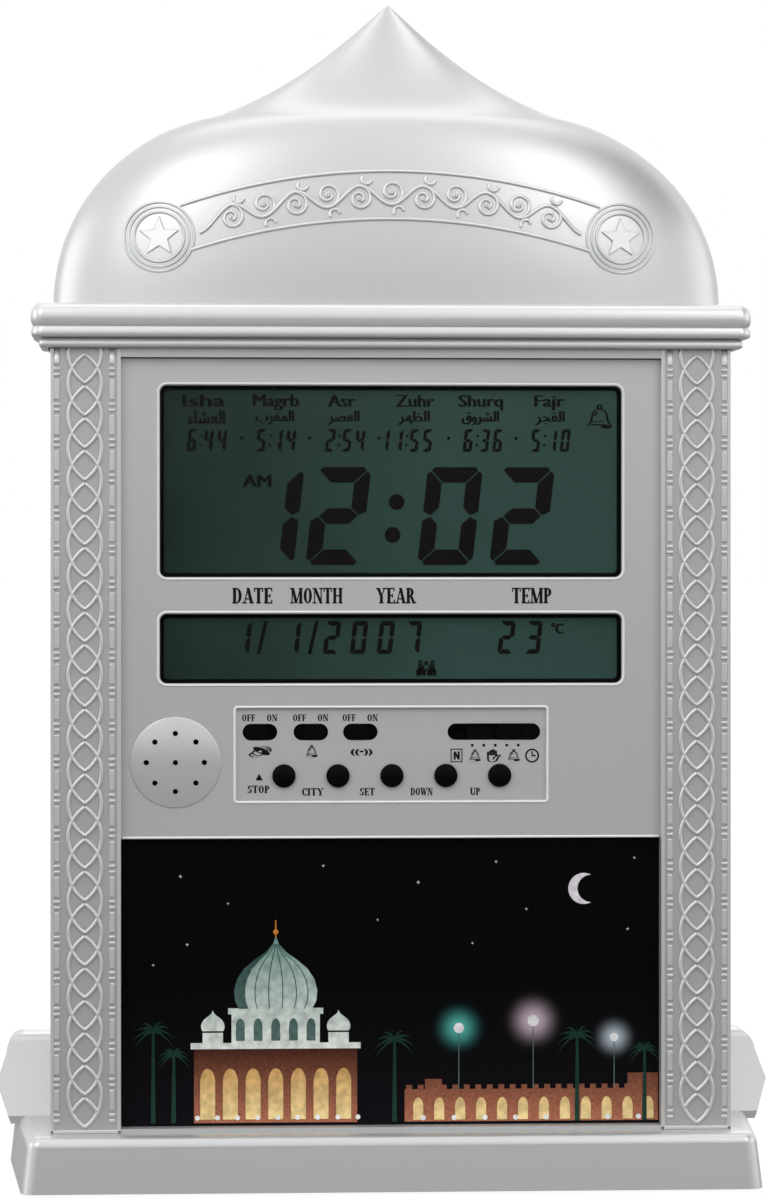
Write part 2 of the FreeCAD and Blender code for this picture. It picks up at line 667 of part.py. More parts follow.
def hump(inset):
    """Raised back of the stand: bulging sides, sloped front, round top corners."""
    waist = BASE_REAR_WIDTH / 2 - BASE_DRAFT - inset
    ridge = BASE_REAR_WIDTH / 2 + HUMP_BULGE - inset
    shoulder = ridge - HUMP_BULGE
    top = HUMP_TOP - inset
    foot = HUMP_WAIST_Z
    corner = HUMP_CORNER
    half_way = corner * (1 - math.cos(math.pi / 4))
    face = Part.Face(Part.Wire([
        Part.LineSegment(Vector(-waist, 0, foot), Vector(waist, 0, foot)).toShape(),
        Part.LineSegment(Vector(waist, 0, foot), Vector(ridge, 0, HUMP_RIDGE_Z)).toShape(),
        Part.LineSegment(Vector(ridge, 0, HUMP_RIDGE_Z), Vector(shoulder, 0, top - corner)).toShape(),
        Part.Arc(Vector(shoulder, 0, top - corner),
                 Vector(shoulder - half_way, 0, top - half_way),
                 Vector(shoulder - corner, 0, top)).toShape(),
        Part.LineSegment(Vector(shoulder - corner, 0, top), Vector(corner - shoulder, 0, top)).toShape(),
        Part.Arc(Vector(corner - shoulder, 0, top),
                 Vector(half_way - shoulder, 0, top - half_way),
                 Vector(-shoulder, 0, top - corner)).toShape(),
        Part.LineSegment(Vector(-shoulder, 0, top - corner), Vector(-ridge, 0, HUMP_RIDGE_Z)).toShape(),
        Part.LineSegment(Vector(-ridge, 0, HUMP_RIDGE_Z), Vector(-waist, 0, foot)).toShape(),
    ]))
    across = face.extrude(Vector(0, BASE_DEPTH, 0))
    across.translate(Vector(0, FOOT_FRONT, 0))
    start = BASE_BACK - HUMP_DEPTH + inset
    back = BASE_BACK - inset
    side_face = Part.Face(Part.makePolygon([
        Vector(-BASE_REAR_WIDTH, start, foot),
        Vector(-BASE_REAR_WIDTH, start, BASE_TOP),
        Vector(-BASE_REAR_WIDTH, start + HUMP_SLOPE_RUN, top),
        Vector(-BASE_REAR_WIDTH, back, top),
        Vector(-BASE_REAR_WIDTH, back, foot),
        Vector(-BASE_REAR_WIDTH, start, foot),
    ]))
    along = side_face.extrude(Vector(2 * BASE_REAR_WIDTH, 0, 0))
    softened = [edge for edge in edges_along(along, Vector(1, 0, 0))
                if edge.BoundBox.ZMin > HUMP_RIDGE_Z]
    along = along.makeFillet(corner, softened)
    reach = ridge + BASE_DRAFT / 2
    plan = plan_outline(foot, reach, reach, FOOT_FRONT, back, BASE_FRONT_RADIUS,
                        BASE_REAR_RADIUS - inset)
    upright = Part.Face(plan).extrude(Vector(0, 0, HUMP_TOP))
    return across.common(along).common(upright)


def plate_screw_places():
    half = BASE_FRONT_WIDTH / 2 - PLATE_SCREW_INSET_X
    return [(side * half, y) for side in (-1, 1)
            for y in (FOOT_FRONT + PLATE_SCREW_INSET_Y, BASE_BACK - PLATE_SCREW_INSET_Y)]


def base():
    """Stand: plinth and hump in one hollow moulding, with a seat for the case."""
    block_low = plinth(0, FOOT_PROUD, BASE_TOP)
    rims = [edge for edge in block_low.Edges
            if edge.BoundBox.ZMin > BASE_TOP - 0.01 and edge.BoundBox.YMax < BASE_BACK - BASE_DEPTH / 2]
    block_low = block_low.makeFillet(BASE_EDGE, rims)
    seat = block(-CASE_HALF - SLOT_GAP, CASE_HALF + SLOT_GAP, FOOT_FRONT, CASE_BACK + SLOT_GAP,
                 BASE_TOP, HUMP_TOP + BASE_TOP)
    outer = union([block_low, hump(0).cut(seat)])
    hollow_low = plinth(BASE_WALL, FOOT_PROUD, BASE_TOP - BASE_WALL)
    wall = BASE_WALL + SLOT_GAP
    keep = block(-CASE_HALF - wall, CASE_HALF + wall, FOOT_FRONT, CASE_BACK + wall,
                 BASE_TOP - BASE_WALL, HUMP_TOP + BASE_TOP)
    hollow_high = hump(BASE_WALL).cut(keep)
    shell = less(outer, [hollow_low, hollow_high])
    bosses = [hidden_post(BOSS_RADIUS, x, y, FOOT_PROUD + BASE_PLATE, BASE_TOP - BASE_WALL)
              for x, y in plate_screw_places()]
    shell = union([shell] + bosses)
    screw_tip = FOOT_PROUD + SCREW_HEAD / 2 + SHORT_SCREW_LENGTH
    cutters = [hidden_post(SCREW_RADIUS + FIT, x, y, FOOT_PROUD, screw_tip)
               for x, y in plate_screw_places()]
    cutters += [hidden_post(SCREW_RADIUS + FIT, x, y, BASE_TOP - BASE_WALL, BASE_TOP)
                for x, y in stand_screw_places()]
    return less(shell, cutters)


def foot_places():
    half = BASE_FRONT_WIDTH / 2 - FOOT_INSET_X
    return [(side * half, y) for side in (-1, 1)
            for y in (FOOT_FRONT + FOOT_INSET_Y, BASE_BACK - FOOT_INSET_Y)]


def base_plate():
    """Flat lid under the stand, with pockets for the feet and sunk screw heads."""
    plate = plinth(BASE_WALL + SLOT_GAP, FOOT_PROUD, FOOT_PROUD + BASE_PLATE)
    cutters = []
    for x, y in foot_places():
        cutters.append(post(FOOT_RADIUS + FIT, x, y, FOOT_PROUD, FOOT_HEIGHT))
    for x, y in plate_screw_places():
        cutters.append(hidden_post(SCREW_RADIUS + FIT, x, y, FOOT_PROUD, FOOT_PROUD + BASE_PLATE))
        cutters.append(hidden_post(SCREW_HEAD_RADIUS + FIT, x, y, FOOT_PROUD,
                                   FOOT_PROUD + SCREW_HEAD / 2))
    return less(plate, cutters)


def rubber_feet():
    return Part.makeCompound([post(FOOT_RADIUS, x, y, 0, FOOT_HEIGHT) for x, y in foot_places()])


# ---------------------------------------------------------------- front panel and picture
def button_places():
    first = BUTTON_CENTRE_X - BUTTON_PITCH * (len(BUTTON_NAMES) - 1) / 2
    return [first + BUTTON_PITCH * i for i in range(len(BUTTON_NAMES))]


def bulge(radius, height, y, x, z):
    """Shallow lens, flat side at y and swelling towards the front by height."""
    ball = (radius * radius + height * height) / (2 * height)
    sphere = Part.makeSphere(ball, Vector(x, y - height + ball, z))
    return sphere.common(rod(radius, x, z, y - height, y))


def sound_hole_places():
    places = [(SPEAKER_X, SPEAKER_Z)]
    for i in range(SOUND_HOLES):
        angle = 2 * math.pi * i / SOUND_HOLES
        places.append((SPEAKER_X + SOUND_HOLE_RING * math.cos(angle),
                       SPEAKER_Z + SOUND_HOLE_RING * math.sin(angle)))
    return places


def board_screw_places():
    top = TIME_TOP
    bottom = DATE_BOTTOM
    return mirrored_pair(LCD_HALF + BOARD_MARGIN / 2, [bottom, (bottom + top) / 2, top])


def switch_board_screw_places():
    return mirrored_pair(SWITCH_BOARD_WIDTH / 2 - BOARD_BOSS_RADIUS,
                         [CONTROL_BOTTOM + SWITCH_SCREW_INSET, CONTROL_TOP - SWITCH_SCREW_INSET])


def front_panel():
    """Panel with the display windows, control recess, speaker boss and picture tray."""
    upper = block(-PANEL_HALF, PANEL_HALF, PANEL_FRONT, PANEL_BACK,
                  PICTURE_TOP, OPENING_TOP - SEAT_GAP)
    tray_back = PANEL_FRONT + PICTURE_DEPTH + PICTURE_CARD + PICTURE_TRAY
    tray = block(-PANEL_HALF, PANEL_HALF, PANEL_FRONT, tray_back,
                 PICTURE_BOTTOM + SEAT_GAP, PICTURE_TOP + PICTURE_TRAY)
    pocket = block(-OPENING_HALF, OPENING_HALF, PANEL_FRONT, tray_back - PICTURE_TRAY,
                   PICTURE_BOTTOM, PICTURE_TOP)
    ears = []
    for x, z in stake_places():
        inner = math.copysign(PANEL_HALF, x)
        outer = x + math.copysign(EAR_REACH, x)
        ears.append(block(min(inner, outer), max(inner, outer), PANEL_FRONT, PANEL_BACK,
                          z - 2 * STAKE_HEAD, z + 2 * STAKE_HEAD))
    boss = bulge(SPEAKER_BOSS_RADIUS, SPEAKER_BULGE, PANEL_FRONT, SPEAKER_X, SPEAKER_Z)
    ring_back = PANEL_BACK + SPEAKER_RIM + SEAT_GAP
    ring = ring_prism(SPEAKER_X, SPEAKER_Z, SPEAKER_RADIUS + SPEAKER_WALL, SPEAKER_RADIUS + FIT,
                      PANEL_BACK, ring_back)
    posts = [hidden_rod(BOARD_BOSS_RADIUS, x, z, PANEL_BACK, BOARD_FRONT)
             for x, z in board_screw_places()]
    posts += [hidden_rod(BOARD_BOSS_RADIUS, x, z, PANEL_BACK, SWITCH_BOARD_FRONT)
              for x, z in switch_board_screw_places()]
    body = union([upper, tray.cut(pocket), boss, ring] + ears + posts)

    lens_front = PANEL_BACK - LENS_THICK - SEAT_GAP
    recess_floor = PANEL_FRONT + CONTROL_RECESS
    cutters = []
    for z0, z1 in ((DATE_BOTTOM, DATE_TOP), (TIME_BOTTOM, TIME_TOP)):
        cutters.append(rounded_plate(WINDOW_HALF, z0, z1, PANEL_FRONT, PANEL_BACK, WINDOW_RADIUS))
        cutters.append(block(-WINDOW_HALF - LENS_LAP, WINDOW_HALF + LENS_LAP, lens_front, PANEL_BACK,
                             z0 - LENS_LAP, z1 + LENS_LAP))
    cutters.append(block(-CONTROL_HALF, CONTROL_HALF, PANEL_FRONT, recess_floor,
                         CONTROL_BOTTOM, CONTROL_TOP))
    for x in button_places():
        cutters.append(rod(BUTTON_RADIUS + RUNNING, x, BUTTON_Z, PANEL_FRONT, PANEL_BACK))
    for x in SLIDE_X:
        cutters.append(stadium(x, SWITCH_Z, SLIDE_SLOT_LENGTH, SLIDE_SLOT_HEIGHT,
                               PANEL_FRONT, PANEL_BACK))
    cutters.append(stadium(MODE_X, SWITCH_Z, MODE_SLOT_LENGTH, SLIDE_SLOT_HEIGHT,
                           PANEL_FRONT, PANEL_BACK))
    for x, z in sound_hole_places():
        cutters.append(hidden_rod(SOUND_HOLE_RADIUS, x, z, PANEL_FRONT - SPEAKER_BULGE, PANEL_BACK))
    # the boss is hollow behind, so that its wall stays thin in front of the cone
    hollow_radius = SPEAKER_BOSS_RADIUS - SPEAKER_WALL
    hollow_front = PANEL_FRONT + SPEAKER_WALL
    cutters.append(bulge(hollow_radius, SPEAKER_BULGE, hollow_front, SPEAKER_X, SPEAKER_Z))
    cutters.append(rod(hollow_radius, SPEAKER_X, SPEAKER_Z, hollow_front, PANEL_BACK))
    for x, z in stake_places():
        cutters.append(hidden_rod(STAKE_RADIUS + FIT, x, z, PANEL_FRONT, PANEL_BACK))
    for x, z in board_screw_places():
        cutters.append(hidden_rod(BOARD_SCREW_RADIUS + FIT, x, z,
                                  BOARD_FRONT - SHORT_SCREW_LENGTH, BOARD_FRONT))
    for x, z in switch_board_screw_places():
        cutters.append(hidden_rod(BOARD_SCREW_RADIUS + FIT, x, z,
                                  SWITCH_BOARD_FRONT - SHORT_SCREW_LENGTH, SWITCH_BOARD_FRONT))
    return less(body, cutters)


def picture_card():
    front = PANEL_FRONT + PICTURE_DEPTH
    return block(-OPENING_HALF + SEAT_GAP, OPENING_HALF - SEAT_GAP, front, front + PICTURE_CARD,
                 PICTURE_BOTTOM + SEAT_GAP, PICTURE_TOP - SEAT_GAP)


# ---------------------------------------------------------------- displays and boards
def lens(z0, z1):
    lap = LENS_LAP - SEAT_GAP
    return block(-WINDOW_HALF - lap, WINDOW_HALF + lap, PANEL_BACK - LENS_THICK, PANEL_BACK,
                 z0 - lap, z1 + lap)


def lcd_glass(z0, z1):
    return block(-LCD_HALF, LCD_HALF, PANEL_BACK, LCD_BACK, z0 - LCD_LAP, z1 + LCD_LAP)


def lcd_holder():
    """Frame round both glasses, with a pocket for each glass and its connector strips."""
    half = LCD_HALF + HOLDER_WALL - SEAT_GAP
    frame = block(-half, half, PANEL_BACK, BOARD_FRONT,
                  DATE_BOTTOM - LCD_LAP - HOLDER_WALL, TIME_TOP + LCD_LAP + HOLDER_WALL)
    cutters = []
    for z0, z1 in ((DATE_BOTTOM, DATE_TOP), (TIME_BOTTOM, TIME_TOP)):
        cutters.append(block(-LCD_HALF - SEAT_GAP, LCD_HALF + SEAT_GAP, PANEL_BACK, BOARD_FRONT,
                             z0 - LCD_LAP - SEAT_GAP, z1 + LCD_LAP + SEAT_GAP))
    for x, z in board_screw_places():
        cutters.append(hidden_rod(BOARD_BOSS_RADIUS + SLOT_GAP, x, z, PANEL_BACK, BOARD_FRONT))
    return less(frame, cutters)


def zebra_strips():
    strips = []
    for z in (DATE_BOTTOM, TIME_BOTTOM):
        low = z - LCD_LAP
        strips.append(block(-WINDOW_HALF, WINDOW_HALF, LCD_BACK, BOARD_FRONT, low, low + ZEBRA_WIDTH))
    for z in (DATE_TOP, TIME_TOP):
        high = z + LCD_LAP
        strips.append(block(-WINDOW_HALF, WINDOW_HALF, LCD_BACK, BOARD_FRONT, high - ZEBRA_WIDTH, high))
    return Part.makeCompound(strips)


def main_board_bottom():
    return DATE_BOTTOM - LCD_LAP - HOLDER_WALL


def main_board():
    board = block(-BOARD_HALF, BOARD_HALF, BOARD_FRONT, BOARD_FRONT + BOARD,
                  main_board_bottom(), TIME_TOP + LCD_LAP + HOLDER_WALL)
    holes = [hidden_rod(BOARD_SCREW_RADIUS + FIT, x, z, BOARD_FRONT, BOARD_FRONT + BOARD)
             for x, z in board_screw_places()]
    return less(board, holes)


def board_components():
    """Chips, crystal and capacitors on the back of the main board."""
    back = BOARD_FRONT + BOARD
    middle = (DATE_BOTTOM + TIME_TOP) / 2
    half = CHIP_SIZE / 2
    side = 2 * CHIP_SIZE
    memory = MEMORY_SIZE
    chip_back = back + CHIP_THICK
    memory_back = back + MEMORY_THICK
    capacitor_back = back + CAPACITOR_HEIGHT
    parts = [
        block(-half, half, back, chip_back, middle - half, middle + half),
        block(side, side + memory, back, memory_back, middle - memory, middle + memory),
        block(-side - memory, -side, back, memory_back, middle - memory / 2, middle + memory / 2),
        hidden_rod(CAPACITOR_RADIUS, -side, middle + 2 * memory, back, capacitor_back),
        hidden_rod(CAPACITOR_RADIUS, side, middle - 2 * memory, back, capacitor_back),
        hidden_rod(CRYSTAL_RADIUS, -CHIP_SIZE, middle - memory, back, back + CRYSTAL_HEIGHT),
    ]
    return Part.makeCompound(parts)


def temperature_sensor():
    """Thermistor bead standing on two leads on the main board."""
    back = BOARD_FRONT + BOARD
    z = DATE_BOTTOM
    tip = back + SENSOR_STAND
    spread = SENSOR_RADIUS - 2 * SENSOR_WIRE
    wires = [hidden_rod(SENSOR_WIRE, SENSOR_X + side * spread, z, back, tip) for side in (-1, 1)]
    head = hidden_rod(SENSOR_RADIUS, SENSOR_X, z, tip, tip + SENSOR_RADIUS)
    return union([head] + wires)


def switch_board():
    bottom = CONTROL_BOTTOM - BOARD_BOSS_RADIUS
    board = block(-SWITCH_BOARD_WIDTH / 2, SWITCH_BOARD_WIDTH / 2, SWITCH_BOARD_FRONT,
                  SWITCH_BOARD_FRONT + BOARD, bottom, main_board_bottom() - SEAT_GAP)
    holes = [hidden_rod(BOARD_SCREW_RADIUS + FIT, x, z, SWITCH_BOARD_FRONT, SWITCH_BOARD_FRONT + BOARD)
             for x, z in switch_board_screw_places()]
    return less(board, holes)


def board_screw(x, z, y):
    """Pan-head screw whose head bears on a board at y, with its thread towards the front."""
    shank = hidden_rod(BOARD_SCREW_RADIUS, x, z, y - SHORT_SCREW_LENGTH, y)
    head = hidden_rod(2 * BOARD_SCREW_RADIUS - SEAT_GAP, x, z, y, y + BOARD_SCREW_RADIUS)
    return union([shank, head])


def board_screws():
    screws = [board_screw(x, z, BOARD_FRONT + BOARD) for x, z in board_screw_places()]
    screws += [board_screw(x, z, SWITCH_BOARD_FRONT + BOARD) for x, z in switch_board_screw_places()]
    return Part.makeCompound(screws)


def ribbon_cable():
    """Flat ribbon from the main board down to the switch board."""
    half = RIBBON_WIDTH / 2
    lap = RIBBON_LAP
    lower = SWITCH_BOARD_FRONT + BOARD
    upper = BOARD_FRONT + BOARD
    back = max(lower, upper)
    bottom = main_board_bottom()
    parts = [block(-half, half, back, back + RIBBON_THICK, bottom - lap, bottom + lap)]
    if upper < back:
        parts.append(block(-half, half, upper, back, bottom + lap / 2, bottom + lap))
    if lower < back:
        parts.append(block(-half, half, lower, back, bottom - lap, bottom - lap / 2))
    return union(parts)


# ---------------------------------------------------------------- controls
def push_button(x):
    """Cap with a domed face, a flange behind the panel and a stem into its switch."""
    face = PANEL_FRONT + CONTROL_RECESS - BUTTON_PROUD
    flange_front = PANEL_BACK + SEAT_GAP
    flange_back = flange_front + BUTTON_FLANGE
    barrel = rod(BUTTON_RADIUS, x, BUTTON_Z, face + BUTTON_CROWN, flange_back)
    crown = bulge(BUTTON_RADIUS, BUTTON_CROWN, face + BUTTON_CROWN, x, BUTTON_Z)
    flange = hidden_rod(BUTTON_RADIUS + BUTTON_FLANGE, x, BUTTON_Z, flange_front, flange_back)
    stem = hidden_rod(BUTTON_STEM_RADIUS, x, BUTTON_Z, flange_back, SWITCH_FRONT + SEAT_GAP)
    return union([barrel, crown, flange, stem])


def tact_switches():
    """Square push switches under the buttons, each bored for its stem and the travel."""
    switches = []
    half = TACT_SIZE / 2
    for x in button_places():
        body = block(x - half, x + half, SWITCH_FRONT, SWITCH_BOARD_FRONT,
                     BUTTON_Z - half, BUTTON_Z + half)
        bore = hidden_rod(BUTTON_STEM_RADIUS + RUNNING, x, BUTTON_Z, SWITCH_FRONT,
                          SWITCH_FRONT + BUTTON_TRAVEL + 3 * SEAT_GAP)
        switches.append(body.cut(bore))
    return Part.makeCompound(switches)


def slide_knob(x, slot_length, travel):
    """Black knob in its slot, on a skirt that hides the slot and a lever into the switch."""
    length = slot_length - travel - 2 * SLIDE_END_GAP
    height = SLIDE_SLOT_HEIGHT - 2 * SLOT_GAP
    face = PANEL_FRONT + CONTROL_RECESS - SLIDE_KNOB_PROUD
    skirt_front = PANEL_BACK + SEAT_GAP
    skirt_back = skirt_front + BUTTON_FLANGE
    knob = stadium(x, SWITCH_Z, length, height, face, skirt_back)
    half = slot_length / 2 + SKIRT_LAP
    skirt = block(x - half, x + half, skirt_front, skirt_back,
                  SWITCH_Z - height / 2 - SKIRT_LAP, SWITCH_Z + height / 2 + SKIRT_LAP)
    lever = block(x - SWITCH_LEVER / 2, x + SWITCH_LEVER / 2, skirt_back, SWITCH_FRONT + SWITCH_LEVER,
                  SWITCH_Z - SWITCH_LEVER / 2, SWITCH_Z + SWITCH_LEVER / 2)
    grooves = []
    for step in (-1, 0, 1):
        middle = x + step * GROOVE_PITCH
        grooves.append(block(middle - GROOVE / 2, middle + GROOVE / 2, face, face + GROOVE / 2,
                             SWITCH_Z - height, SWITCH_Z + height))
    return union([knob, skirt, lever]).cut(Part.makeCompound(grooves))


def switch_body(x, length, travel):
    """Metal-cased slide switch with a window for its lever."""
    half = length / 2
    height = SLIDE_SLOT_HEIGHT - 2 * SLOT_GAP
    body = block(x - half, x + half, SWITCH_FRONT, SWITCH_BOARD_FRONT,
                 SWITCH_Z - height / 2, SWITCH_Z + height / 2)
    reach = travel / 2 + SWITCH_LEVER / 2 + SLOT_GAP
    window = block(x - reach, x + reach, SWITCH_FRONT, SWITCH_FRONT + SWITCH_LEVER + SEAT_GAP,
                   SWITCH_Z - SWITCH_LEVER / 2 - RUNNING, SWITCH_Z + SWITCH_LEVER / 2 + RUNNING)
    return body.cut(window)


def slide_switches():
    return Part.makeCompound([switch_body(x, SLIDE_SLOT_LENGTH, SLIDE_TRAVEL) for x in SLIDE_X])


def slider(index):
    end = SLIDE_TRAVEL / 2 if SLIDE_SET[index] else -SLIDE_TRAVEL / 2
    return slide_knob(SLIDE_X[index] + end, SLIDE_SLOT_LENGTH, SLIDE_TRAVEL)


def mode_travel():
    return MODE_PITCH * (MODE_STOPS - 1)


def mode_switch():
    return switch_body(MODE_X, MODE_SLOT_LENGTH, mode_travel())


def mode_slider():
    return slide_knob(MODE_X + mode_travel() / 2, MODE_SLOT_LENGTH, mode_travel())


# ---------------------------------------------------------------- loudspeaker
def speaker_frame():
    """Pressed basket: a flat rim and a cone-shaped dish with an open front."""
    front = PANEL_BACK + SEAT_GAP / 2
    rim = ring_prism(SPEAKER_X, SPEAKER_Z, SPEAKER_RADIUS, SPEAKER_RADIUS - SPEAKER_WALL,
                     front, front + SPEAKER_RIM)
    start = Vector(SPEAKER_X, front + SPEAKER_RIM, SPEAKER_Z)
    way = Vector(0, 1, 0)
    dish = Part.makeCone(SPEAKER_RADIUS - SPEAKER_SHEET / 2, SPEAKER_MAGNET_RADIUS,
                         SPEAKER_BASKET, start, way)
    hollow = Part.makeCone(SPEAKER_RADIUS - SPEAKER_WALL, SPEAKER_MAGNET_RADIUS - SPEAKER_WALL,
                           SPEAKER_BASKET - SPEAKER_SHEET, start, way)
    return union([rim, dish.cut(hollow)])


def speaker_cone():
    """Thin cone glued inside the basket's rim, with a domed dust cap."""
    front = PANEL_BACK + SEAT_GAP / 2
    start = Vector(SPEAKER_X, front + SPEAKER_RIM, SPEAKER_Z)
    way = Vector(0, 1, 0)
    outer = SPEAKER_RADIUS - SPEAKER_WALL - SEAT_GAP
    inner = SPEAKER_MAGNET_RADIUS - 2 * SPEAKER_WALL
    thick = SPEAKER_CONE
    deep = SPEAKER_BASKET - 2 * SPEAKER_SHEET
    sheet = Part.makeCone(outer, inner, deep, start, way)
    cut = Part.makeCone(outer - thick, inner - thick, deep, start, way)
    cap = rod(inner, SPEAKER_X, SPEAKER_Z, start.y + deep - thick, start.y + deep)
    edge = ring_prism(SPEAKER_X, SPEAKER_Z, outer, outer - SPEAKER_RIM,
                      front + thick, front + SPEAKER_RIM)
    return union([sheet.cut(cut), cap, edge])


def speaker_magnet():
    front = PANEL_BACK + SEAT_GAP / 2 + SPEAKER_RIM + SPEAKER_BASKET
    return rod(SPEAKER_MAGNET_RADIUS, SPEAKER_X, SPEAKER_Z, front, front + SPEAKER_MAGNET)


# ---------------------------------------------------------------- battery bay
def cell_height(index):
    return BAY_Z + (index - (CELLS - 1) / 2) * CELL_PITCH


def cell_turn(index):
    """Every other cell is turned end for end: 1 has its button to the right."""
    return 1 if index % 2 == 0 else -1


def battery_cell(index):
    turn = cell_turn(index)
    y = BAY_FLOOR + CELL_RADIUS + SEAT_GAP
    z = cell_height(index)
    can = Part.makeCylinder(CELL_RADIUS, CELL_LENGTH - CELL_NUB,
                            Vector(-turn * CELL_LENGTH / 2, y, z), Vector(turn, 0, 0))
    button = Part.makeCylinder(CELL_NUB_RADIUS, CELL_NUB,
                               Vector(turn * (CELL_LENGTH / 2 - CELL_NUB), y, z), Vector(turn, 0, 0))
    return union([can, button])


def contact_plates():
    """Flat nickel plates at the button ends of the cells."""
    plates = []
    half = CONTACT_HALF
    y = BAY_FLOOR + CELL_RADIUS + SEAT_GAP
    for index in range(CELLS):
        turn = cell_turn(index)
        z = cell_height(index)
        wall = turn * BAY_HALF_X
        face = wall - turn * CONTACT
        plate = block(min(wall, face), max(wall, face), y - half, y + half, z - half, z + half)
        reach = turn * (CELL_LENGTH / 2 + SEAT_GAP)
        dimple = block(min(face, reach), max(face, reach), y - DIMPLE_HALF, y + DIMPLE_HALF,
                       z - DIMPLE_HALF, z + DIMPLE_HALF)
        plates.append(union([plate, dimple]))
    return Part.makeCompound(plates)


def hidden_cone(x0, x1, y, z, radius0, radius1):
    """Cone along X from x0 to x1, with few flat sides."""
    rings = []
    for x, radius in ((x0, radius0), (x1, radius1)):
        rings.append([Vector(x, y + along, z + up) for along, up in facet_ring(radius)])
    wide, narrow = rings
    outlines = [wide, narrow]
    for i in range(HIDDEN_SIDES):
        j = (i + 1) % HIDDEN_SIDES
        outlines.append([wide[i], wide[j], narrow[j], narrow[i]])
    faces = [Part.Face(Part.makePolygon(corners + [corners[0]])) for corners in outlines]
    solid = Part.Solid(Part.Shell(faces))
    if solid.Volume < 0:
        solid.reverse()
    return solid


def battery_springs():
    """Conical springs at the flat ends of the cells, each as one sleeve of its closed turns."""
    springs = []
    y = BAY_FLOOR + CELL_RADIUS + SEAT_GAP
    for index in range(CELLS):
        turn = -cell_turn(index)
        z = cell_height(index)
        start = turn * BAY_HALF_X
        end = turn * (CELL_LENGTH / 2 + SEAT_GAP)
        sleeve = hidden_cone(start, end, y, z, SPRING_WIDE, SPRING_NARROW)
        room = hidden_cone(start, end, y, z, SPRING_WIDE - 2 * SPRING_WIRE,
                           SPRING_NARROW - 2 * SPRING_WIRE)
        springs.append(sleeve.cut(room))
    return Part.makeCompound(springs)


def battery_door():
    """Lid over the cells: two tabs under the cover's lower edge and a moulded finger grip."""
    gap = SLOT_GAP
    half = BAY_HALF_X + DOOR_LAP - gap
    bottom = BAY_Z - BAY_HALF_Z - DOOR_LAP + gap
    top = BAY_Z + BAY_HALF_Z + DOOR_LAP - gap
    door = block(-half, half, DOOR_INNER + SEAT_GAP, CASE_BACK, bottom, top)
    tabs = []
    for side in (-1, 1):
        x = side * BAY_HALF_X / 2
        tabs.append(block(x - DOOR_TAB, x + DOOR_TAB, DOOR_INNER - DOOR_TAB_THICK,
                          DOOR_INNER - SEAT_GAP, bottom - DOOR_TAB / 2, bottom + DOOR_TAB / 2))
        tabs.append(block(x - DOOR_TAB, x + DOOR_TAB, DOOR_INNER - SEAT_GAP,
                          DOOR_INNER + SEAT_GAP, bottom, bottom + DOOR_TAB / 2))
    grip_z = top - 2 * DOOR_GRIP_RADIUS
    grip_floor = CASE_BACK - DOOR_GRIP_DEPTH
    grip = rod(DOOR_GRIP_RADIUS, 0, grip_z, grip_floor, CASE_BACK)
    ridges = []
    for step in (-1, 0, 1):
        z = grip_z + step * GRIP_RIDGE_PITCH
        ridges.append(block(-GRIP_RIDGE_HALF, GRIP_RIDGE_HALF, grip_floor, CASE_BACK,
                            z - GRIP_RIDGE / 2, z + GRIP_RIDGE / 2))
    return union([door.cut(grip)] + ridges + tabs)


def twin_lead(points, across):
    """Flat twin cable along straight runs with round bends, LEAD_WIDTH wide in the across way."""
    edges = []
    last = points[0]
    for before, corner, after in zip(points, points[1:], points[2:]):
        back = before - corner
        ahead = after - corner
        bend = LEAD_BEND_SHARE * min(back.Length, ahead.Length)
        back.normalize()
        ahead.normalize()
        start = corner + back * bend
        end = corner + ahead * bend
        half_turn = back.getAngle(ahead) / 2
        radius = bend * math.tan(half_turn)
        middle_way = (back + ahead).normalize()
        middle = corner + middle_way * (radius / math.sin(half_turn) - radius)
        edges.append(Part.LineSegment(last, start).toShape())
        edges.append(Part.Arc(start, middle, end).toShape())
        last = end
    edges.append(Part.LineSegment(last, points[-1]).toShape())
    way = (points[1] - points[0]).normalize()
    thin = way.cross(across) * (LEAD_THICK / 2)
    wide = across * (LEAD_WIDTH / 2)
    corners = [points[0] + wide + thin, points[0] - wide + thin,
               points[0] - wide - thin, points[0] + wide - thin]
    section = Part.Face(Part.makePolygon(corners + [corners[0]]))
    return Part.Wire(edges).makePipe(section)


def battery_leads():
    """Twin cable from the bay's wall forward to the main board."""
    board = BOARD_FRONT + BOARD
    x = BAY_HALF_X / 2
    start = Vector(x, BAY_FLOOR + CELL_RADIUS, BAY_Z + BAY_HALF_Z + BAY_WALL)
    rise = start + Vector(0, 0, BATTERY_LEAD_RISE)
    solder = Vector(x, board, main_board_bottom() + BATTERY_SOLDER_RISE)
    loop = solder + Vector(0, LEAD_LOOP, 0)
    return twin_lead([start, rise, loop, solder], Vector(1, 0, 0))


def speaker_leads():
    """Twin cable from the speaker's magnet up to the main board."""
    board = BOARD_FRONT + BOARD
    back = PANEL_BACK + SEAT_GAP / 2 + SPEAKER_RIM + SPEAKER_BASKET + SPEAKER_MAGNET
    start = Vector(SPEAKER_X, back, SPEAKER_Z)
    solder = Vector(SPEAKER_X, board, main_board_bottom() + SPEAKER_SOLDER_RISE)
    step = start + Vector(0, LEAD_STEP, 0)
    loop = solder + Vector(0, LEAD_LOOP, 0)
    return twin_lead([start, step, loop, solder], Vector(1, 0, 0))


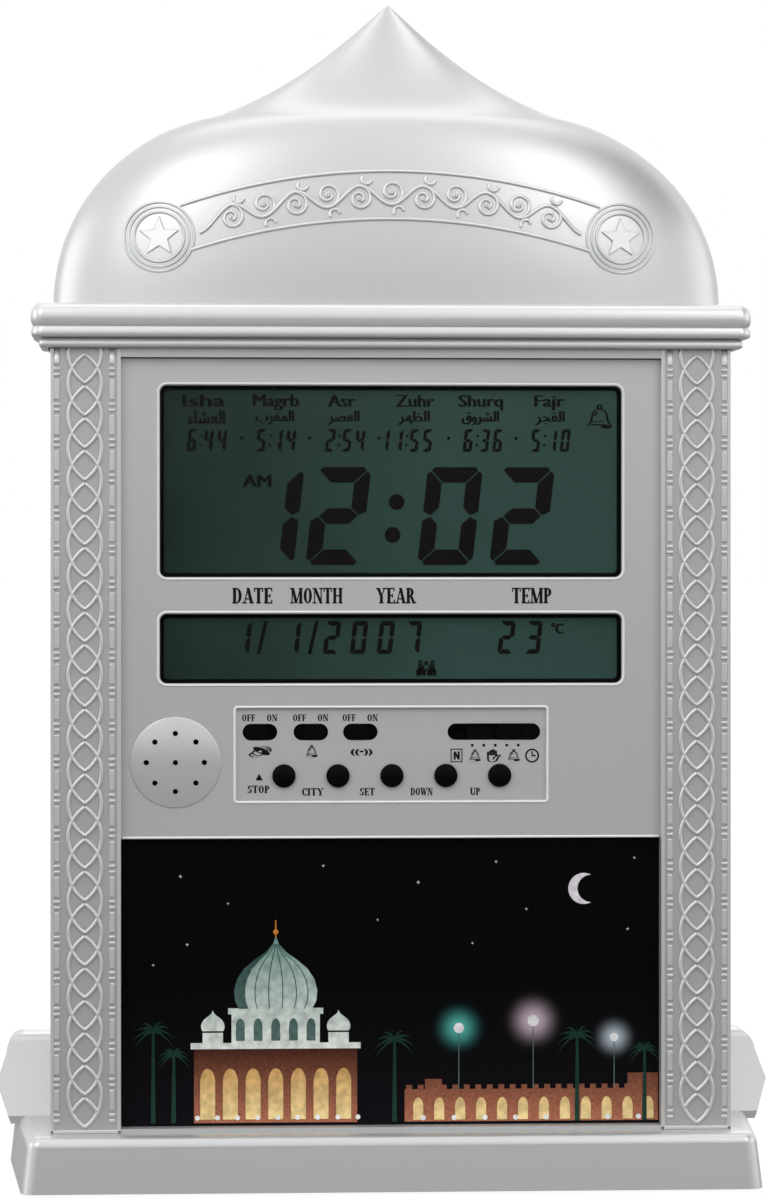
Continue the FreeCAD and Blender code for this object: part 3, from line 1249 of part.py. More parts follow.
# ---------------------------------------------------------------- screws
def case_screws():
    """Screws from behind: their heads bear on the columns' floors, sunk in the cover."""
    screws = []
    for x, z in case_screw_places() + dome_screw_places():
        floor = SEAM + CASE_WALL
        shank = hidden_rod(SCREW_RADIUS, x, z, floor - SCREW_LENGTH, floor)
        head = hidden_rod(SCREW_HEAD_RADIUS, x, z, floor, floor + SCREW_HEAD)
        screws.append(union([shank, head]))
    return Part.makeCompound(screws)


def upright_screw(x, y, z):
    """Screw that points up, its head under the wall at z."""
    shank = hidden_post(SCREW_RADIUS, x, y, z, z + SHORT_SCREW_LENGTH)
    head = hidden_post(SCREW_HEAD_RADIUS, x, y, z - SCREW_HEAD / 2, z)
    return union([shank, head])


def deck_screws():
    return Part.makeCompound([upright_screw(x, y, CASE_TOP - CASE_WALL) for x, y in deck_screw_places()])


def stand_screws():
    return Part.makeCompound([upright_screw(x, y, BASE_TOP - BASE_WALL) for x, y in stand_screw_places()])


def plate_screws():
    """Screws that close the stand, their heads sunk flush in its plate."""
    seat = FOOT_PROUD + SCREW_HEAD / 2
    return Part.makeCompound([upright_screw(x, y, seat) for x, y in plate_screw_places()])


# ---------------------------------------------------------------- write one file for each piece
def pieces():
    named = {
        "dome_shell": dome_shell(),
        "cornice": cornice(),
        "front_case": front_case(),
        "rear_cover": rear_cover(),
        "base": base(),
        "base_plate": base_plate(),
        "rubber_feet": rubber_feet(),
        "front_panel": front_panel(),
        "picture_card": picture_card(),
        "time_window": lens(TIME_BOTTOM, TIME_TOP),
        "date_window": lens(DATE_BOTTOM, DATE_TOP),
        "time_lcd": lcd_glass(TIME_BOTTOM, TIME_TOP),
        "date_lcd": lcd_glass(DATE_BOTTOM, DATE_TOP),
        "lcd_holder": lcd_holder(),
        "connector_strips": zebra_strips(),
        "main_board": main_board(),
        "board_components": board_components(),
        "temperature_sensor": temperature_sensor(),
        "switch_board": switch_board(),
        "ribbon_cable": ribbon_cable(),
        "tact_switches": tact_switches(),
        "slide_switches": slide_switches(),
        "mode_switch": mode_switch(),
        "mode_slider": mode_slider(),
        "speaker_frame": speaker_frame(),
        "speaker_cone": speaker_cone(),
        "speaker_magnet": speaker_magnet(),
        "speaker_leads": speaker_leads(),
        "contact_plates": contact_plates(),
        "battery_springs": battery_springs(),
        "battery_leads": battery_leads(),
        "battery_door": battery_door(),
        "case_screws": case_screws(),
        "deck_screws": deck_screws(),
        "stand_screws": stand_screws(),
        "plate_screws": plate_screws(),
        "board_screws": board_screws(),
    }
    for name, x in zip(BUTTON_NAMES, button_places()):
        named["push_button_" + name] = push_button(x)
    for index, name in enumerate(SLIDER_NAMES):
        named["slider_" + name] = slider(index)
    for index, name in enumerate(CELL_NAMES):
        named["battery_cell_" + name] = battery_cell(index)
    return named


os.makedirs("parts", exist_ok=True)
for node, shape in pieces().items():
    shape.exportStep("parts/" + node + ".step")
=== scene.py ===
"""Looks of the desk prayer clock: satin silver shells, two displays, a control strip and a print."""
import json
import math

import bpy
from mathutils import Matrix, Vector

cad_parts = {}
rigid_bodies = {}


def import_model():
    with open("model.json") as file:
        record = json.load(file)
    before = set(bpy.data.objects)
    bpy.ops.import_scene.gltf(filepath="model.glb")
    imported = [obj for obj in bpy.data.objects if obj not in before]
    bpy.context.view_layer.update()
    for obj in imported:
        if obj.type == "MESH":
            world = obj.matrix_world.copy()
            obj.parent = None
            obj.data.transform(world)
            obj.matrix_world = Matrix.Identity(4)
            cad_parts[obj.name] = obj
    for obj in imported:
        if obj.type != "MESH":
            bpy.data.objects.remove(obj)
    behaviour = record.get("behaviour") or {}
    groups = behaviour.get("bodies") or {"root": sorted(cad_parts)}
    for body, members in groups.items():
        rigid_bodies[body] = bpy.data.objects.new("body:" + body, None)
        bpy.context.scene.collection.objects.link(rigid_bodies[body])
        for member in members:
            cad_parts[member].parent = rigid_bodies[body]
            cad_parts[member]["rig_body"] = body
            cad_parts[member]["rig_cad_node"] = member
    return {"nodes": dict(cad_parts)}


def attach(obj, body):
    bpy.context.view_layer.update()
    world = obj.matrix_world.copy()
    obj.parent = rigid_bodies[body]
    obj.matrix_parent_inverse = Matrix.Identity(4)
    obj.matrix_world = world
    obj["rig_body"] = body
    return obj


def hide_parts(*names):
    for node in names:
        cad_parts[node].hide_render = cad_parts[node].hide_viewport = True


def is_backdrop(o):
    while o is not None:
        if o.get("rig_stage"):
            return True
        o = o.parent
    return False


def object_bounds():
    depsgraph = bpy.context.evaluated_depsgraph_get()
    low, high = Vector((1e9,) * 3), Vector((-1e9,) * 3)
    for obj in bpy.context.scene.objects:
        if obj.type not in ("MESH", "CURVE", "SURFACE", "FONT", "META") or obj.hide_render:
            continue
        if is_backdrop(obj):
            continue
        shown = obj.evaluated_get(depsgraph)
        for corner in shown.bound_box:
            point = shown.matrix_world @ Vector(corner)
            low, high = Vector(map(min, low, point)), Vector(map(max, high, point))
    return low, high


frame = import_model()
nodes = frame["nodes"]
cad_low, cad_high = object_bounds()

# ---------------------------------------------------------------- stand
# The stand is moulded ABS, sprayed with satin silver paint: a flared plinth with a raised hump
# behind the case. A plate on four rubber feet closes it from below and four screws hold it.
MM = 0.001
# painted shade in grooves: how far the paint looks for nearby surfaces, and with how many samples
CREASE_SHADE_REACH = 1.2 * MM
CREASE_SHADE_SAMPLES = 8


def linear(colour):
    """Linear colour of an sRGB hex value."""
    channels = [int(colour[i:i + 2], 16) / 255 for i in (1, 3, 5)]
    return tuple(c / 12.92 if c <= 0.04045 else ((c + 0.055) / 1.055) ** 2.4 for c in channels) + (1.0,)


def add(tree, kind, inputs=None, **settings):
    """One node with its settings, its input values and the links into it."""
    made = tree.nodes.new("ShaderNode" + kind)
    for name, value in settings.items():
        setattr(made, name, value)
    for name, value in (inputs or {}).items():
        if isinstance(value, bpy.types.NodeSocket):
            tree.links.new(value, made.inputs[name])
        else:
            made.inputs[name].default_value = value
    return made


def new_material(name):
    """An empty material and its node tree."""
    made = bpy.data.materials.new(name)
    made.use_nodes = True
    made.node_tree.nodes.clear()
    return made, made.node_tree


def surface(name, colour, roughness, metallic=0.0, grain=0.5, tint=0.03, bump=0.05, depth=0.05,
            crease_shade=0.0, specular=0.5):
    """A finish whose colour and height vary a little in grains of a given size in millimetres.

    Where the crease shade is set, grooves and the feet of raised lines are painted that much darker: painted
    shade where shade falls.
    """
    material, tree = new_material(name)
    place = add(tree, "TexCoord").outputs["Object"]
    grains = add(tree, "TexNoise", {"Vector": place, "Scale": 1 / (grain * MM), "Detail": 2.0})
    shade = add(tree, "MapRange", {"Value": grains.outputs["Fac"], "To Min": 1 - tint,
                                             "To Max": 1 + tint})
    tone = shade.outputs["Result"]
    # painted shade: ambient occlusion darkens the paint in grooves and at the feet of raised lines
    if crease_shade:
        crease_occlusion = add(tree, "AmbientOcclusion", {"Distance": CREASE_SHADE_REACH},
                     samples=CREASE_SHADE_SAMPLES)
        painted_crease_shade = add(tree, "MapRange", {"Value": crease_occlusion.outputs["AO"], "To Min": 1 - crease_shade,
                                                "To Max": 1.0})
        tone = add(tree, "Math", {0: tone, 1: painted_crease_shade.outputs["Result"]},
                   operation="MULTIPLY").outputs[0]
    paint = add(tree, "Mix", {0: 1.0, 6: linear(colour), 7: tone}, data_type="RGBA",
                blend_type="MULTIPLY")
    relief = add(tree, "Bump", {"Height": grains.outputs["Fac"], "Strength": bump,
                                          "Distance": depth * MM})
    shader = add(tree, "BsdfPrincipled", {
        "Base Color": paint.outputs[2], "Metallic": metallic, "Roughness": roughness,
        "Normal": relief.outputs["Normal"], "Specular IOR Level": specular})
    add(tree, "OutputMaterial", {"Surface": shader.outputs["BSDF"]})
    return material


def dress(material, *names):
    """CAD nodes that keep their shape get a material in every slot."""
    for name in names:
        materials = nodes[name].data.materials
        if not materials:
            materials.append(material)
        for i in range(len(materials)):
            materials[i] = material


# sprayed silver: fine flakes in a satin coat, which give a soft, slightly grainy sheen; its grooves carry
# painted shade
silver = surface("satin_silver_paint", "#cecfd0", 0.34, metallic=0.5, tint=0.025, crease_shade=0.2)
# moulded rubber: dull black with a fine skin
rubber = surface("moulded_rubber", "#1d1c1c", 0.8, grain=0.3, tint=0.1, bump=0.3)
# zinc-plated steel: bright, cool, finely brushed by the thread rolling
screw_steel = surface("zinc_plated_steel", "#b4b6b8", 0.3, metallic=1.0, grain=0.2, tint=0.05)
dress(silver, "base")
dress(rubber, "rubber_feet")
dress(screw_steel, "plate_screws", "stand_screws")

# ---------------------------------------------------------------- case front and its lattice pillars
# The front of the case is one moulding. Each pillar face is framed by a narrow raised border and
# carries a chain of pointed ovals between two bar-and-bead rails, moulded in low relief.
dress(silver, "front_case", "front_panel")
PILLAR_FRONT = -32.0 * MM
PILLAR_INNER = 79.4 * MM
PILLAR_OUTER = 100.0 * MM
PILLAR_FOOT = 17.3 * MM
PILLAR_HEAD = 247.0 * MM
BORDER = 1.1 * MM
BORDER_PROUD = 0.4 * MM
BORDER_EDGE = 0.3 * MM
# how deep a raised piece is sunk into the face behind it
SUNK = 0.3 * MM
SHARP = math.radians(35)
# a lighter copy of the satin silver for the raised relief and the front cornice: painted highlight on the
# raised parts
highlit_silver = surface("silver_paint_with_painted_highlight", "#dadadb", 0.34, metallic=0.5, tint=0.025)


def deselect():
    """Nothing stays selected, so an operator acts only on what is made next."""
    bpy.ops.object.select_all(action="DESELECT")


def only(piece):
    """One piece is selected and active."""
    deselect()
    piece.select_set(True)
    bpy.context.view_layer.objects.active = piece


def fit(piece, name, material, stands_for=()):
    """A finished piece gets its name, its finish and its body, and its place goes into its mesh."""
    only(piece)
    bpy.ops.object.transform_apply(location=True, rotation=True, scale=True)
    piece.name = name
    piece.data.name = name
    piece.data.materials.clear()
    piece.data.materials.append(material)
    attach(piece, "clock")
    if stands_for:
        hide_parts(*stands_for)


def joined(pieces):
    """Several meshes become one object."""
    deselect()
    for piece in pieces:
        piece.select_set(True)
    bpy.context.view_layer.objects.active = pieces[0]
    if len(pieces) > 1:
        bpy.ops.object.join()
    bpy.ops.object.transform_apply(location=True, rotation=True, scale=True)
    return bpy.context.object


def removed(piece):
    """A pattern or a tool that has done its work is deleted."""
    only(piece)
    bpy.ops.object.delete()


def copied(piece, move):
    """A copy with a mesh of its own, moved."""
    only(piece)
    bpy.ops.object.duplicate()
    bpy.ops.transform.translate(value=move)
    return bpy.context.object


def editing(pick=None, faces=True):
    """Edit mode on the active object, with the faces or edges that pick chooses selected."""
    piece = bpy.context.object
    bpy.ops.object.mode_set(mode="EDIT")
    bpy.ops.mesh.select_mode(type="FACE" if faces else "EDGE")
    bpy.ops.mesh.select_all(action="DESELECT" if pick else "SELECT")
    if pick:
        bpy.ops.object.mode_set(mode="OBJECT")
        mesh = piece.data
        if faces:
            for face in mesh.polygons:
                face.select = bool(pick(face))
        else:
            for edge in mesh.edges:
                edge.select = bool(pick(*(mesh.vertices[i].co for i in edge.vertices)))
        bpy.ops.object.mode_set(mode="EDIT")


def edited(outward=False):
    """Edit mode ends, after the normals are turned outwards where that is asked."""
    if outward:
        bpy.ops.mesh.select_all(action="SELECT")
        bpy.ops.mesh.normals_make_consistent(inside=False)
    bpy.ops.object.mode_set(mode="OBJECT")


def modified(kind, **settings):
    """A modifier is put on the active object, set and applied."""
    piece = bpy.context.object
    step = piece.modifiers.new(kind.lower(), kind)
    for name, value in settings.items():
        setattr(step, name, value)
    bpy.ops.object.modifier_apply(modifier=step.name)
    return piece


def shaded():
    """The active object is shaded smooth between its sharp edges, and its flat faces stay flat."""
    bpy.ops.object.shade_smooth_by_angle(angle=SHARP)
    return modified("WEIGHTED_NORMAL", keep_sharp=True)


def rounded(width, segments):
    """The active object's sharp edges are rounded."""
    modified("BEVEL", width=width, segments=segments, limit_method="ANGLE", angle_limit=SHARP)
    return shaded()


def block(low, high):
    """A cube primitive between two corners, with its place and size in the mesh."""
    deselect()
    bpy.ops.mesh.primitive_cube_add(size=1.0, location=[(a + b) / 2 for a, b in zip(low, high)],
                                    scale=[b - a for a, b in zip(low, high)])
    bpy.ops.object.transform_apply(location=True, rotation=True, scale=True)
    return bpy.context.object


def raised_line(points, width, rise, y=0.0, closed=False):
    """A moulded line of rounded section along points in the XZ plane, half sunk in the face at y."""
    deselect()
    bpy.ops.curve.primitive_nurbs_path_add()
    line = bpy.context.object
    line.location = (0, 0, 0)
    curve = line.data
    curve.splines.clear()
    run = curve.splines.new("POLY")
    run.points.add(len(points) - 1)
    for spot, place in zip(run.points, points):
        spot.co = (place[0], 0.0, place[1], 1.0)
    run.use_cyclic_u = closed
    curve.bevel_depth = width / 2
    curve.bevel_resolution = 2
    curve.use_fill_caps = True
    bpy.ops.object.convert(target="MESH")
    editing()
    bpy.ops.transform.resize(value=(1, rise / (width / 2), 1), center_override=(0, 0, 0))
    edited()
    bpy.ops.object.shade_smooth()
    line = bpy.context.object
    line.location.y = y
    return line


def arc(x, z, wide, start, end, steps, tall=None):
    """Points along a round or oval arc, with angles in degrees from +X towards +Z."""
    turns = [math.radians(start + (end - start) * i / steps) for i in range(steps + 1)]
    return [(x + wide * math.cos(t), z + (tall or wide) * math.sin(t)) for t in turns]


OVAL_HEIGHT = 17.8 * MM
OVAL_WIDTH = 9.7 * MM
OVAL_PITCH = 9.4565 * MM
OVAL_TOP = 245.7 * MM
OVAL_STEPS = 18
OVALS = 24
LATTICE_X = 89.95 * MM
LATTICE_LINE = (1.25 * MM, 0.65 * MM)
RAIL_X = (82.0 * MM, 98.1 * MM)
RAIL_PITCH = 10.387 * MM
RAIL_FIRST = 27.1 * MM
RAIL_START = 20.2 * MM
RAILS = 22
RAIL_BAR = (1.55 * MM, 6.1 * MM)
RAIL_BEAD = (1.9 * MM, 1.05 * MM)
RAIL_PROUD = 0.45 * MM
RAIL_EDGE = 0.35 * MM
BEAD_RISES = (4.34 * MM, 6.05 * MM)
oval_radius = (OVAL_HEIGHT ** 2 + OVAL_WIDTH ** 2) / (4 * OVAL_WIDTH)
oval_lean = math.degrees(math.asin(OVAL_HEIGHT / 2 / oval_radius))
oval_offset = oval_radius - OVAL_WIDTH / 2

# the ground between the raised lines keeps the fine grain of the spark-eroded mould; its paint is a shade
# darker than the silver, and darker still at the feet of the lines: painted shade
ground_silver_with_painted_shade = surface("grained_silver_paint_with_painted_shade", "#c0c0c2", 0.4, metallic=0.5, grain=0.35, tint=0.06,
                         bump=0.5, depth=0.04, crease_shade=0.4)
GROUND_PROUD = 0.05 * MM
GROUND_SUNK = 0.2 * MM
GROUND_EDGE = 0.02 * MM
for side, name in ((-1, "left"), (1, "right")):
    inner, outer = sorted((side * (PILLAR_INNER + BORDER / 2), side * (PILLAR_OUTER - BORDER / 2)))
    block((inner, PILLAR_FRONT - GROUND_PROUD, PILLAR_FOOT + BORDER / 2),
          (outer, PILLAR_FRONT + GROUND_SUNK, PILLAR_HEAD - GROUND_PROUD))
    fit(rounded(GROUND_EDGE, 1), "pillar_ground_" + name, ground_silver_with_painted_shade)
    bars = []
    for x0, x1, z1 in ((PILLAR_INNER, PILLAR_INNER + BORDER, PILLAR_HEAD),
                       (PILLAR_OUTER - BORDER, PILLAR_OUTER, PILLAR_HEAD),
                       (PILLAR_INNER, PILLAR_OUTER, PILLAR_FOOT + BORDER)):
        inner, outer = sorted((side * x0, side * x1))
        block((inner, PILLAR_FRONT - BORDER_PROUD, PILLAR_FOOT), (outer, PILLAR_FRONT + SUNK, z1))
        bars.append(rounded(BORDER_EDGE, 3))
    border = joined(bars)

    one = joined([raised_line(arc(turn * oval_offset, 0, oval_radius, start - oval_lean,
                                  start + oval_lean, OVAL_STEPS), *LATTICE_LINE)
                  for turn, start in ((-1, 0), (1, 180))])
    # the last oval shows only its pointed top, inside the one above
    ovals = [copied(one, (side * LATTICE_X, PILLAR_FRONT, OVAL_TOP - i * OVAL_PITCH))
             for i in range(OVALS + 1)]
    editing()
    bpy.ops.mesh.bisect(plane_co=(0, 0, OVAL_TOP - (OVALS - 0.5) * OVAL_PITCH + 0.1 * MM),
                        plane_no=(0, 0, 1), clear_inner=True, use_fill=True)
    edited()
    removed(one)

    marks = []
    for (wide, tall), rise in ((RAIL_BAR, 0.0), (RAIL_BEAD, BEAD_RISES[0]), (RAIL_BEAD, BEAD_RISES[1])):
        block((-wide / 2, -RAIL_PROUD, rise - tall / 2), (wide / 2, SUNK, rise + tall / 2))
        marks.append(rounded(RAIL_EDGE, 3))
    unit = joined(marks)
    rails = [copied(unit, (side * x, PILLAR_FRONT, RAIL_FIRST + i * RAIL_PITCH))
             for x in RAIL_X for i in range(-1, RAILS)]
    removed(unit)
    rail = joined(rails)
    # a rail starts with two beads
    editing(lambda face: face.center.z < RAIL_START)
    bpy.ops.mesh.delete(type="FACE")
    edited()
    relief = joined([border, rail] + ovals)
    editing()
    bpy.ops.mesh.bisect(plane_co=(0, 0, PILLAR_HEAD), plane_no=(0, 0, 1), clear_outer=True, use_fill=True)
    edited()
    fit(relief, "pillar_relief_" + name, highlit_silver)

# ---------------------------------------------------------------- dome and its relief
# The front half of the onion dome is one thin moulding on the cornice. Two ringed medallions with a
# five-pointed star and a band of scrollwork between two fine borders stand out from it.
SEAM = -8.0 * MM
DOME_FOOT = 260.0 * MM
DOME_HALF = 99.7 * MM
DOME_RISE = 91.0 * MM
DOME_DEPTH = 24.0 * MM
DOME_WALL = 2.2 * MM
MERGE = 0.001 * MM
# the shoulder runs into the neck at the bend; each pull is the reach of a handle, in millimetres
BEND = Vector((55.0, 57.0)) * MM
BEND_LEAN = math.radians(14.8)
TIP_LEAN = math.radians(40.0)
FOOT_PULL, SHOULDER_PULL, NECK_PULL, TIP_PULL = 32.7, 21.8, 28.4, 13.0
CURVE_STEPS = 40


def bezier(poles):
    """Points along a cubic curve through its four poles."""
    points = []
    for i in range(CURVE_STEPS + 1):
        t = i / CURVE_STEPS
        weights = ((1 - t) ** 3, 3 * t * (1 - t) ** 2, 3 * t * t * (1 - t), t ** 3)
        points.append(sum((pole * w for pole, w in zip(poles, weights)), Vector((0, 0))))
    return points


def ring_of(corners, fill="NOTHING"):
    """A circle primitive whose vertices move to the corners."""
    deselect()
    bpy.ops.mesh.primitive_circle_add(vertices=len(corners), radius=1.0, fill_type=fill)
    piece = bpy.context.object
    for vertex, corner in zip(piece.data.vertices, corners):
        vertex.co = corner
    return piece


def swept(steps, angle, centre, axis, merge):
    """In edit mode, all edges are spun round an axis and the doubles merged."""
    bpy.ops.mesh.select_all(action="SELECT")
    bpy.ops.mesh.spin(steps=steps, angle=angle, center=centre, axis=axis)
    bpy.ops.mesh.select_all(action="SELECT")
    bpy.ops.mesh.remove_doubles(threshold=merge)


lean = Vector((-math.cos(BEND_LEAN), math.sin(BEND_LEAN)))
approach = Vector((-math.cos(TIP_LEAN), math.sin(TIP_LEAN)))
dome_foot, dome_tip = Vector((DOME_HALF, 0)), Vector((0, DOME_RISE))
shoulder = bezier((dome_foot, dome_foot + Vector((0, FOOT_PULL * MM)),
                   BEND - lean * SHOULDER_PULL * MM, BEND))
neck = bezier((BEND, BEND + lean * NECK_PULL * MM, dome_tip - approach * TIP_PULL * MM, dome_tip))
profile = shoulder + neck[1:]


def dome_width(z):
    """Half width of the dome at a height above its foot."""
    for low, high in zip(profile, profile[1:]):
        if low.y <= z <= high.y:
            return low.x + (high.x - low.x) * (z - low.y) / (high.y - low.y)
    return DOME_HALF if z < 0 else 0.0


def hollow_shell(thickness):
    """The active sheet is turned to face forward and gets an inside, as thick as the moulding."""
    if sum(face.normal.y * face.area for face in bpy.context.object.data.polygons) > 0:
        editing()
        bpy.ops.mesh.flip_normals()
        edited()
    piece = modified("SOLIDIFY", thickness=thickness, offset=-1)
    bpy.ops.object.shade_smooth_by_angle(angle=math.radians(40))
    return piece


ring_of([(point.x, SEAM, DOME_FOOT + point.y) for point in profile])
# the ring of edges is opened between the tip and the foot, and swept round the front
editing(lambda a, b: abs(a.z - b.z) > DOME_RISE / 2, faces=False)
bpy.ops.mesh.delete(type="EDGE")
swept(96, math.pi, (0, SEAM, 0), (0, 0, 1), MERGE)
bpy.ops.transform.resize(value=(1, DOME_DEPTH / DOME_HALF, 1), center_override=(0, SEAM, 0))
edited(outward=True)
fit(hollow_shell(DOME_WALL), "dome", silver, stands_for=("dome_shell",))


def dome_front(x, z):
    """The dome's front surface at a place, as a y value."""
    width = dome_width(z - DOME_FOOT)
    return SEAM - DOME_DEPTH / DOME_HALF * math.sqrt(max(width ** 2 - x ** 2, 0.0))


def laid_on_dome(piece):
    """Each point of a flat relief moves back or forward onto the dome."""
    for vertex in piece.data.vertices:
        vertex.co.y += dome_front(vertex.co.x, vertex.co.z)
    return piece


MEDALLION_X = 68.3 * MM
MEDALLION_Z = DOME_FOOT + 20.2 * MM
# radius, width and rise of each ring
RINGS = ((10.3 * MM, 0.8 * MM, 0.45 * MM), (8.9 * MM, 0.8 * MM, 0.4 * MM), (7.4 * MM, 0.9 * MM, 0.5 * MM))
RING_STEPS = 47
STAR_RADIUS = 6.3 * MM
STAR_WAIST = 0.43
STAR_PROUD = 0.55 * MM
STAR_SUNK = 0.2 * MM
STAR_EDGE = 0.2 * MM
for side, name in ((-1, "left"), (1, "right")):
    x = side * MEDALLION_X
    rings = [raised_line(arc(x, MEDALLION_Z, radius, 0, 352.5, RING_STEPS), width, rise, closed=True)
             for radius, width, rise in RINGS]
    corners = []
    for i in range(10):
        turn, reach = math.pi / 2 + i * math.pi / 5, STAR_RADIUS * (STAR_WAIST if i % 2 else 1)
        corners.append((x + reach * math.cos(turn), STAR_SUNK, MEDALLION_Z + reach * math.sin(turn)))
    ring_of(corners, fill="NGON")
    editing()
    bpy.ops.mesh.extrude_region_move(TRANSFORM_OT_translate={"value": (0, -STAR_PROUD - STAR_SUNK, 0)})
    edited(outward=True)
    star = rounded(STAR_EDGE, 1)
    bpy.ops.object.shade_flat()
    fit(laid_on_dome(joined(rings + [star])), "medallion_" + name, silver)

BAND_CROWN = 40.0 * MM
BAND_DROP = 12.2 * MM
BAND_HEIGHT = 15.3 * MM
BAND_EDGE = (1.1 * MM, 0.6 * MM)
BAND_INSET = 0.5 * MM
BAND_STEPS = 60
# how far short of the medallion's middle the upper and the lower border end
BAND_ENDS = (6.2 * MM, 9.4 * MM)
band_radius = (MEDALLION_X ** 2 + BAND_DROP ** 2) / (2 * BAND_DROP)


def band_line(x, depth):
    """Height of the band at x, a given depth below its upper border."""
    return DOME_FOOT + BAND_CROWN - depth - (band_radius - math.sqrt(band_radius ** 2 - x * x))


def band_points(end, steps, depth):
    """Points along the band from -end to end, at a depth that may change with x."""
    places = [2 * end * i / steps - end for i in range(steps + 1)]
    return [(x, band_line(x, depth(x))) for x in places]


VINE_PITCH = 9.4 * MM
VINE_SWING = 2.9 * MM
VINE_CURLS = 5
VINE_END = 56.4 * MM
VINE_STEPS = 110
STALK = (1.25 * MM, 0.65 * MM)
CURL = (1.1 * MM, 0.6 * MM)
CURL_HEART = 0.9 * MM
CURL_STEPS = 30
CURL_TURN = 18.0
CURL_REACH, CURL_CLOSING = 3.7, 0.1
CURL_BEAD = (0.45 * MM, 0.9 * MM, 0.7 * MM)
TENDRIL_ROOT = 4.9 * MM
TENDRIL_SHIFT = 0.22
TENDRIL_RADIUS = 1.5 * MM
middle_depth = BAND_HEIGHT / 2
scroll = [raised_line(band_points(MEDALLION_X - BAND_ENDS[0], BAND_STEPS, lambda x: BAND_INSET), *BAND_EDGE),
          raised_line(band_points(MEDALLION_X - BAND_ENDS[1], BAND_STEPS,
                                  lambda x: BAND_HEIGHT - BAND_INSET), *BAND_EDGE),
          raised_line(band_points(VINE_END, VINE_STEPS, lambda x:
                                  middle_depth + VINE_SWING * math.cos(math.pi * x / VINE_PITCH)), *STALK)]
for i in range(-VINE_CURLS, VINE_CURLS + 1):
    # each hollow of the stem holds a curl that leaves the stem and winds in, ending in a bead
    x = i * VINE_PITCH
    up = -1 if i % 2 else 1
    heart = band_line(x, middle_depth - up * CURL_HEART)
    curl = []
    for step in range(CURL_STEPS):
        turn = math.radians(90 * -up + up * step * CURL_TURN)
        reach = (CURL_REACH - step * CURL_CLOSING) * MM
        curl.append((x + reach * math.cos(turn), heart + reach * math.sin(turn)))
    scroll.append(raised_line(curl, *CURL))
    bead_radius, bead_width, bead_rise = CURL_BEAD
    scroll.append(raised_line(arc(x, heart, bead_radius, 0, 315, 7), bead_width, bead_rise, closed=True))
    # a short tendril turns back from the other side of the stem
    root = band_line(x, middle_depth + up * TENDRIL_ROOT)
    scroll.append(raised_line(arc(x + VINE_PITCH * TENDRIL_SHIFT, root, TENDRIL_RADIUS, 180 + 30 * up,
                                  180 - 170 * up, 10), *CURL))
band = laid_on_dome(joined(scroll))
editing()
edited(outward=True)
fit(band, "scroll_band", highlit_silver)

# ---------------------------------------------------------------- cornice, rear cover and battery door
# The cornice is a moulding of three beads, the lowest set back. The rear cover closes the case and
# carries the back half of the cornice and dome. Its battery door hangs by two tabs over three AA cells.
back_silver = surface("satin_silver_back", "#b8b8ba", 0.45, metallic=0.4, tint=0.025)
# each bead: its reach, the height of its middle, how far it bulges, and its rise and drop
FOOT_BEAD = (2.2 * MM, 248.0 * MM, 1.1 * MM, 1.9 * MM, 0.9 * MM)
SMALL_BEAD = (4.7 * MM, 251.2 * MM, 0.85 * MM, 2.1 * MM, 1.1 * MM)
BIG_BEAD = (4.7 * MM, 255.9 * MM, 1.0 * MM, 4.1 * MM, 2.6 * MM)
BIG_BEAD_CROWN = 2.9 * MM
BEAD_STEPS = 8
CORNICE_START = 0.8 * MM
CORNER_LESS = 2.0 * MM
CORNER_LEAST = 0.6 * MM
CORNER_STEPS = 8
CORNICE_MERGE = 0.01 * MM
DECK = 2.4 * MM
DECK_BOSS = (60.0 * MM, -20.0 * MM, 3.6 * MM)


def bead(reach, z, wide, rise, drop):
    """A bead from its lower groove to its upper one, as reach beyond the case and height."""
    return arc(reach, z, wide, -90, 0, BEAD_STEPS, drop) + arc(reach, z, wide, 0, 90, BEAD_STEPS, rise)[1:]


def round_the_front(reach, z):
    """The cornice's outline at one height, from the seam on the left to the seam on the right."""
    half, front = PILLAR_OUTER + reach, PILLAR_FRONT - reach
    corner = max(reach - CORNER_LESS, CORNER_LEAST)
    turns = [math.pi / 2 * i / CORNER_STEPS for i in range(CORNER_STEPS + 1)]
    left = [(-half, SEAM)] + [(-half + corner * (1 - math.cos(t)), front + corner * (1 - math.sin(t)))
                              for t in turns]
    return [(x, y, z) for x, y in left] + [(-x, y, z) for x, y in reversed(left)]


reach, big_middle, wide, rise, drop = BIG_BEAD
section = ([(CORNICE_START, PILLAR_HEAD)] + bead(*FOOT_BEAD) + bead(*SMALL_BEAD)
           + arc(reach, big_middle, wide, -90, 0, BEAD_STEPS, drop)
           + arc(reach + wide - BIG_BEAD_CROWN, big_middle, BIG_BEAD_CROWN, 0, 90, BEAD_STEPS, rise)[1:])
rings = [round_the_front(reach, z) for reach, z in section]
# the deck on top runs back level to the seam
rings.append([(x, SEAM, z) for x, y, z in rings[-1]])
deselect()
bpy.ops.mesh.primitive_grid_add(x_subdivisions=len(rings[0]) - 1, y_subdivisions=len(rings) - 1, size=1.0)
for vertex, place in zip(bpy.context.object.data.vertices, [place for ring in rings for place in ring]):
    vertex.co = place
editing()
bpy.ops.mesh.remove_doubles(threshold=CORNICE_MERGE)
edited(outward=True)
pieces = [hollow_shell(DECK)]
for side in (-1, 1):
    deselect()
    x, y, radius = DECK_BOSS
    bpy.ops.mesh.primitive_cylinder_add(vertices=32, radius=radius, depth=big_middle - PILLAR_HEAD,
                                        location=(side * x, y, (PILLAR_HEAD + big_middle) / 2))
    pieces.append(bpy.context.object)
fit(joined(pieces), "cornice_front", highlit_silver, stands_for=("cornice",))
dress(back_silver, "rear_cover", "battery_door", "base_plate")
dress(screw_steel, "case_screws", "deck_screws")
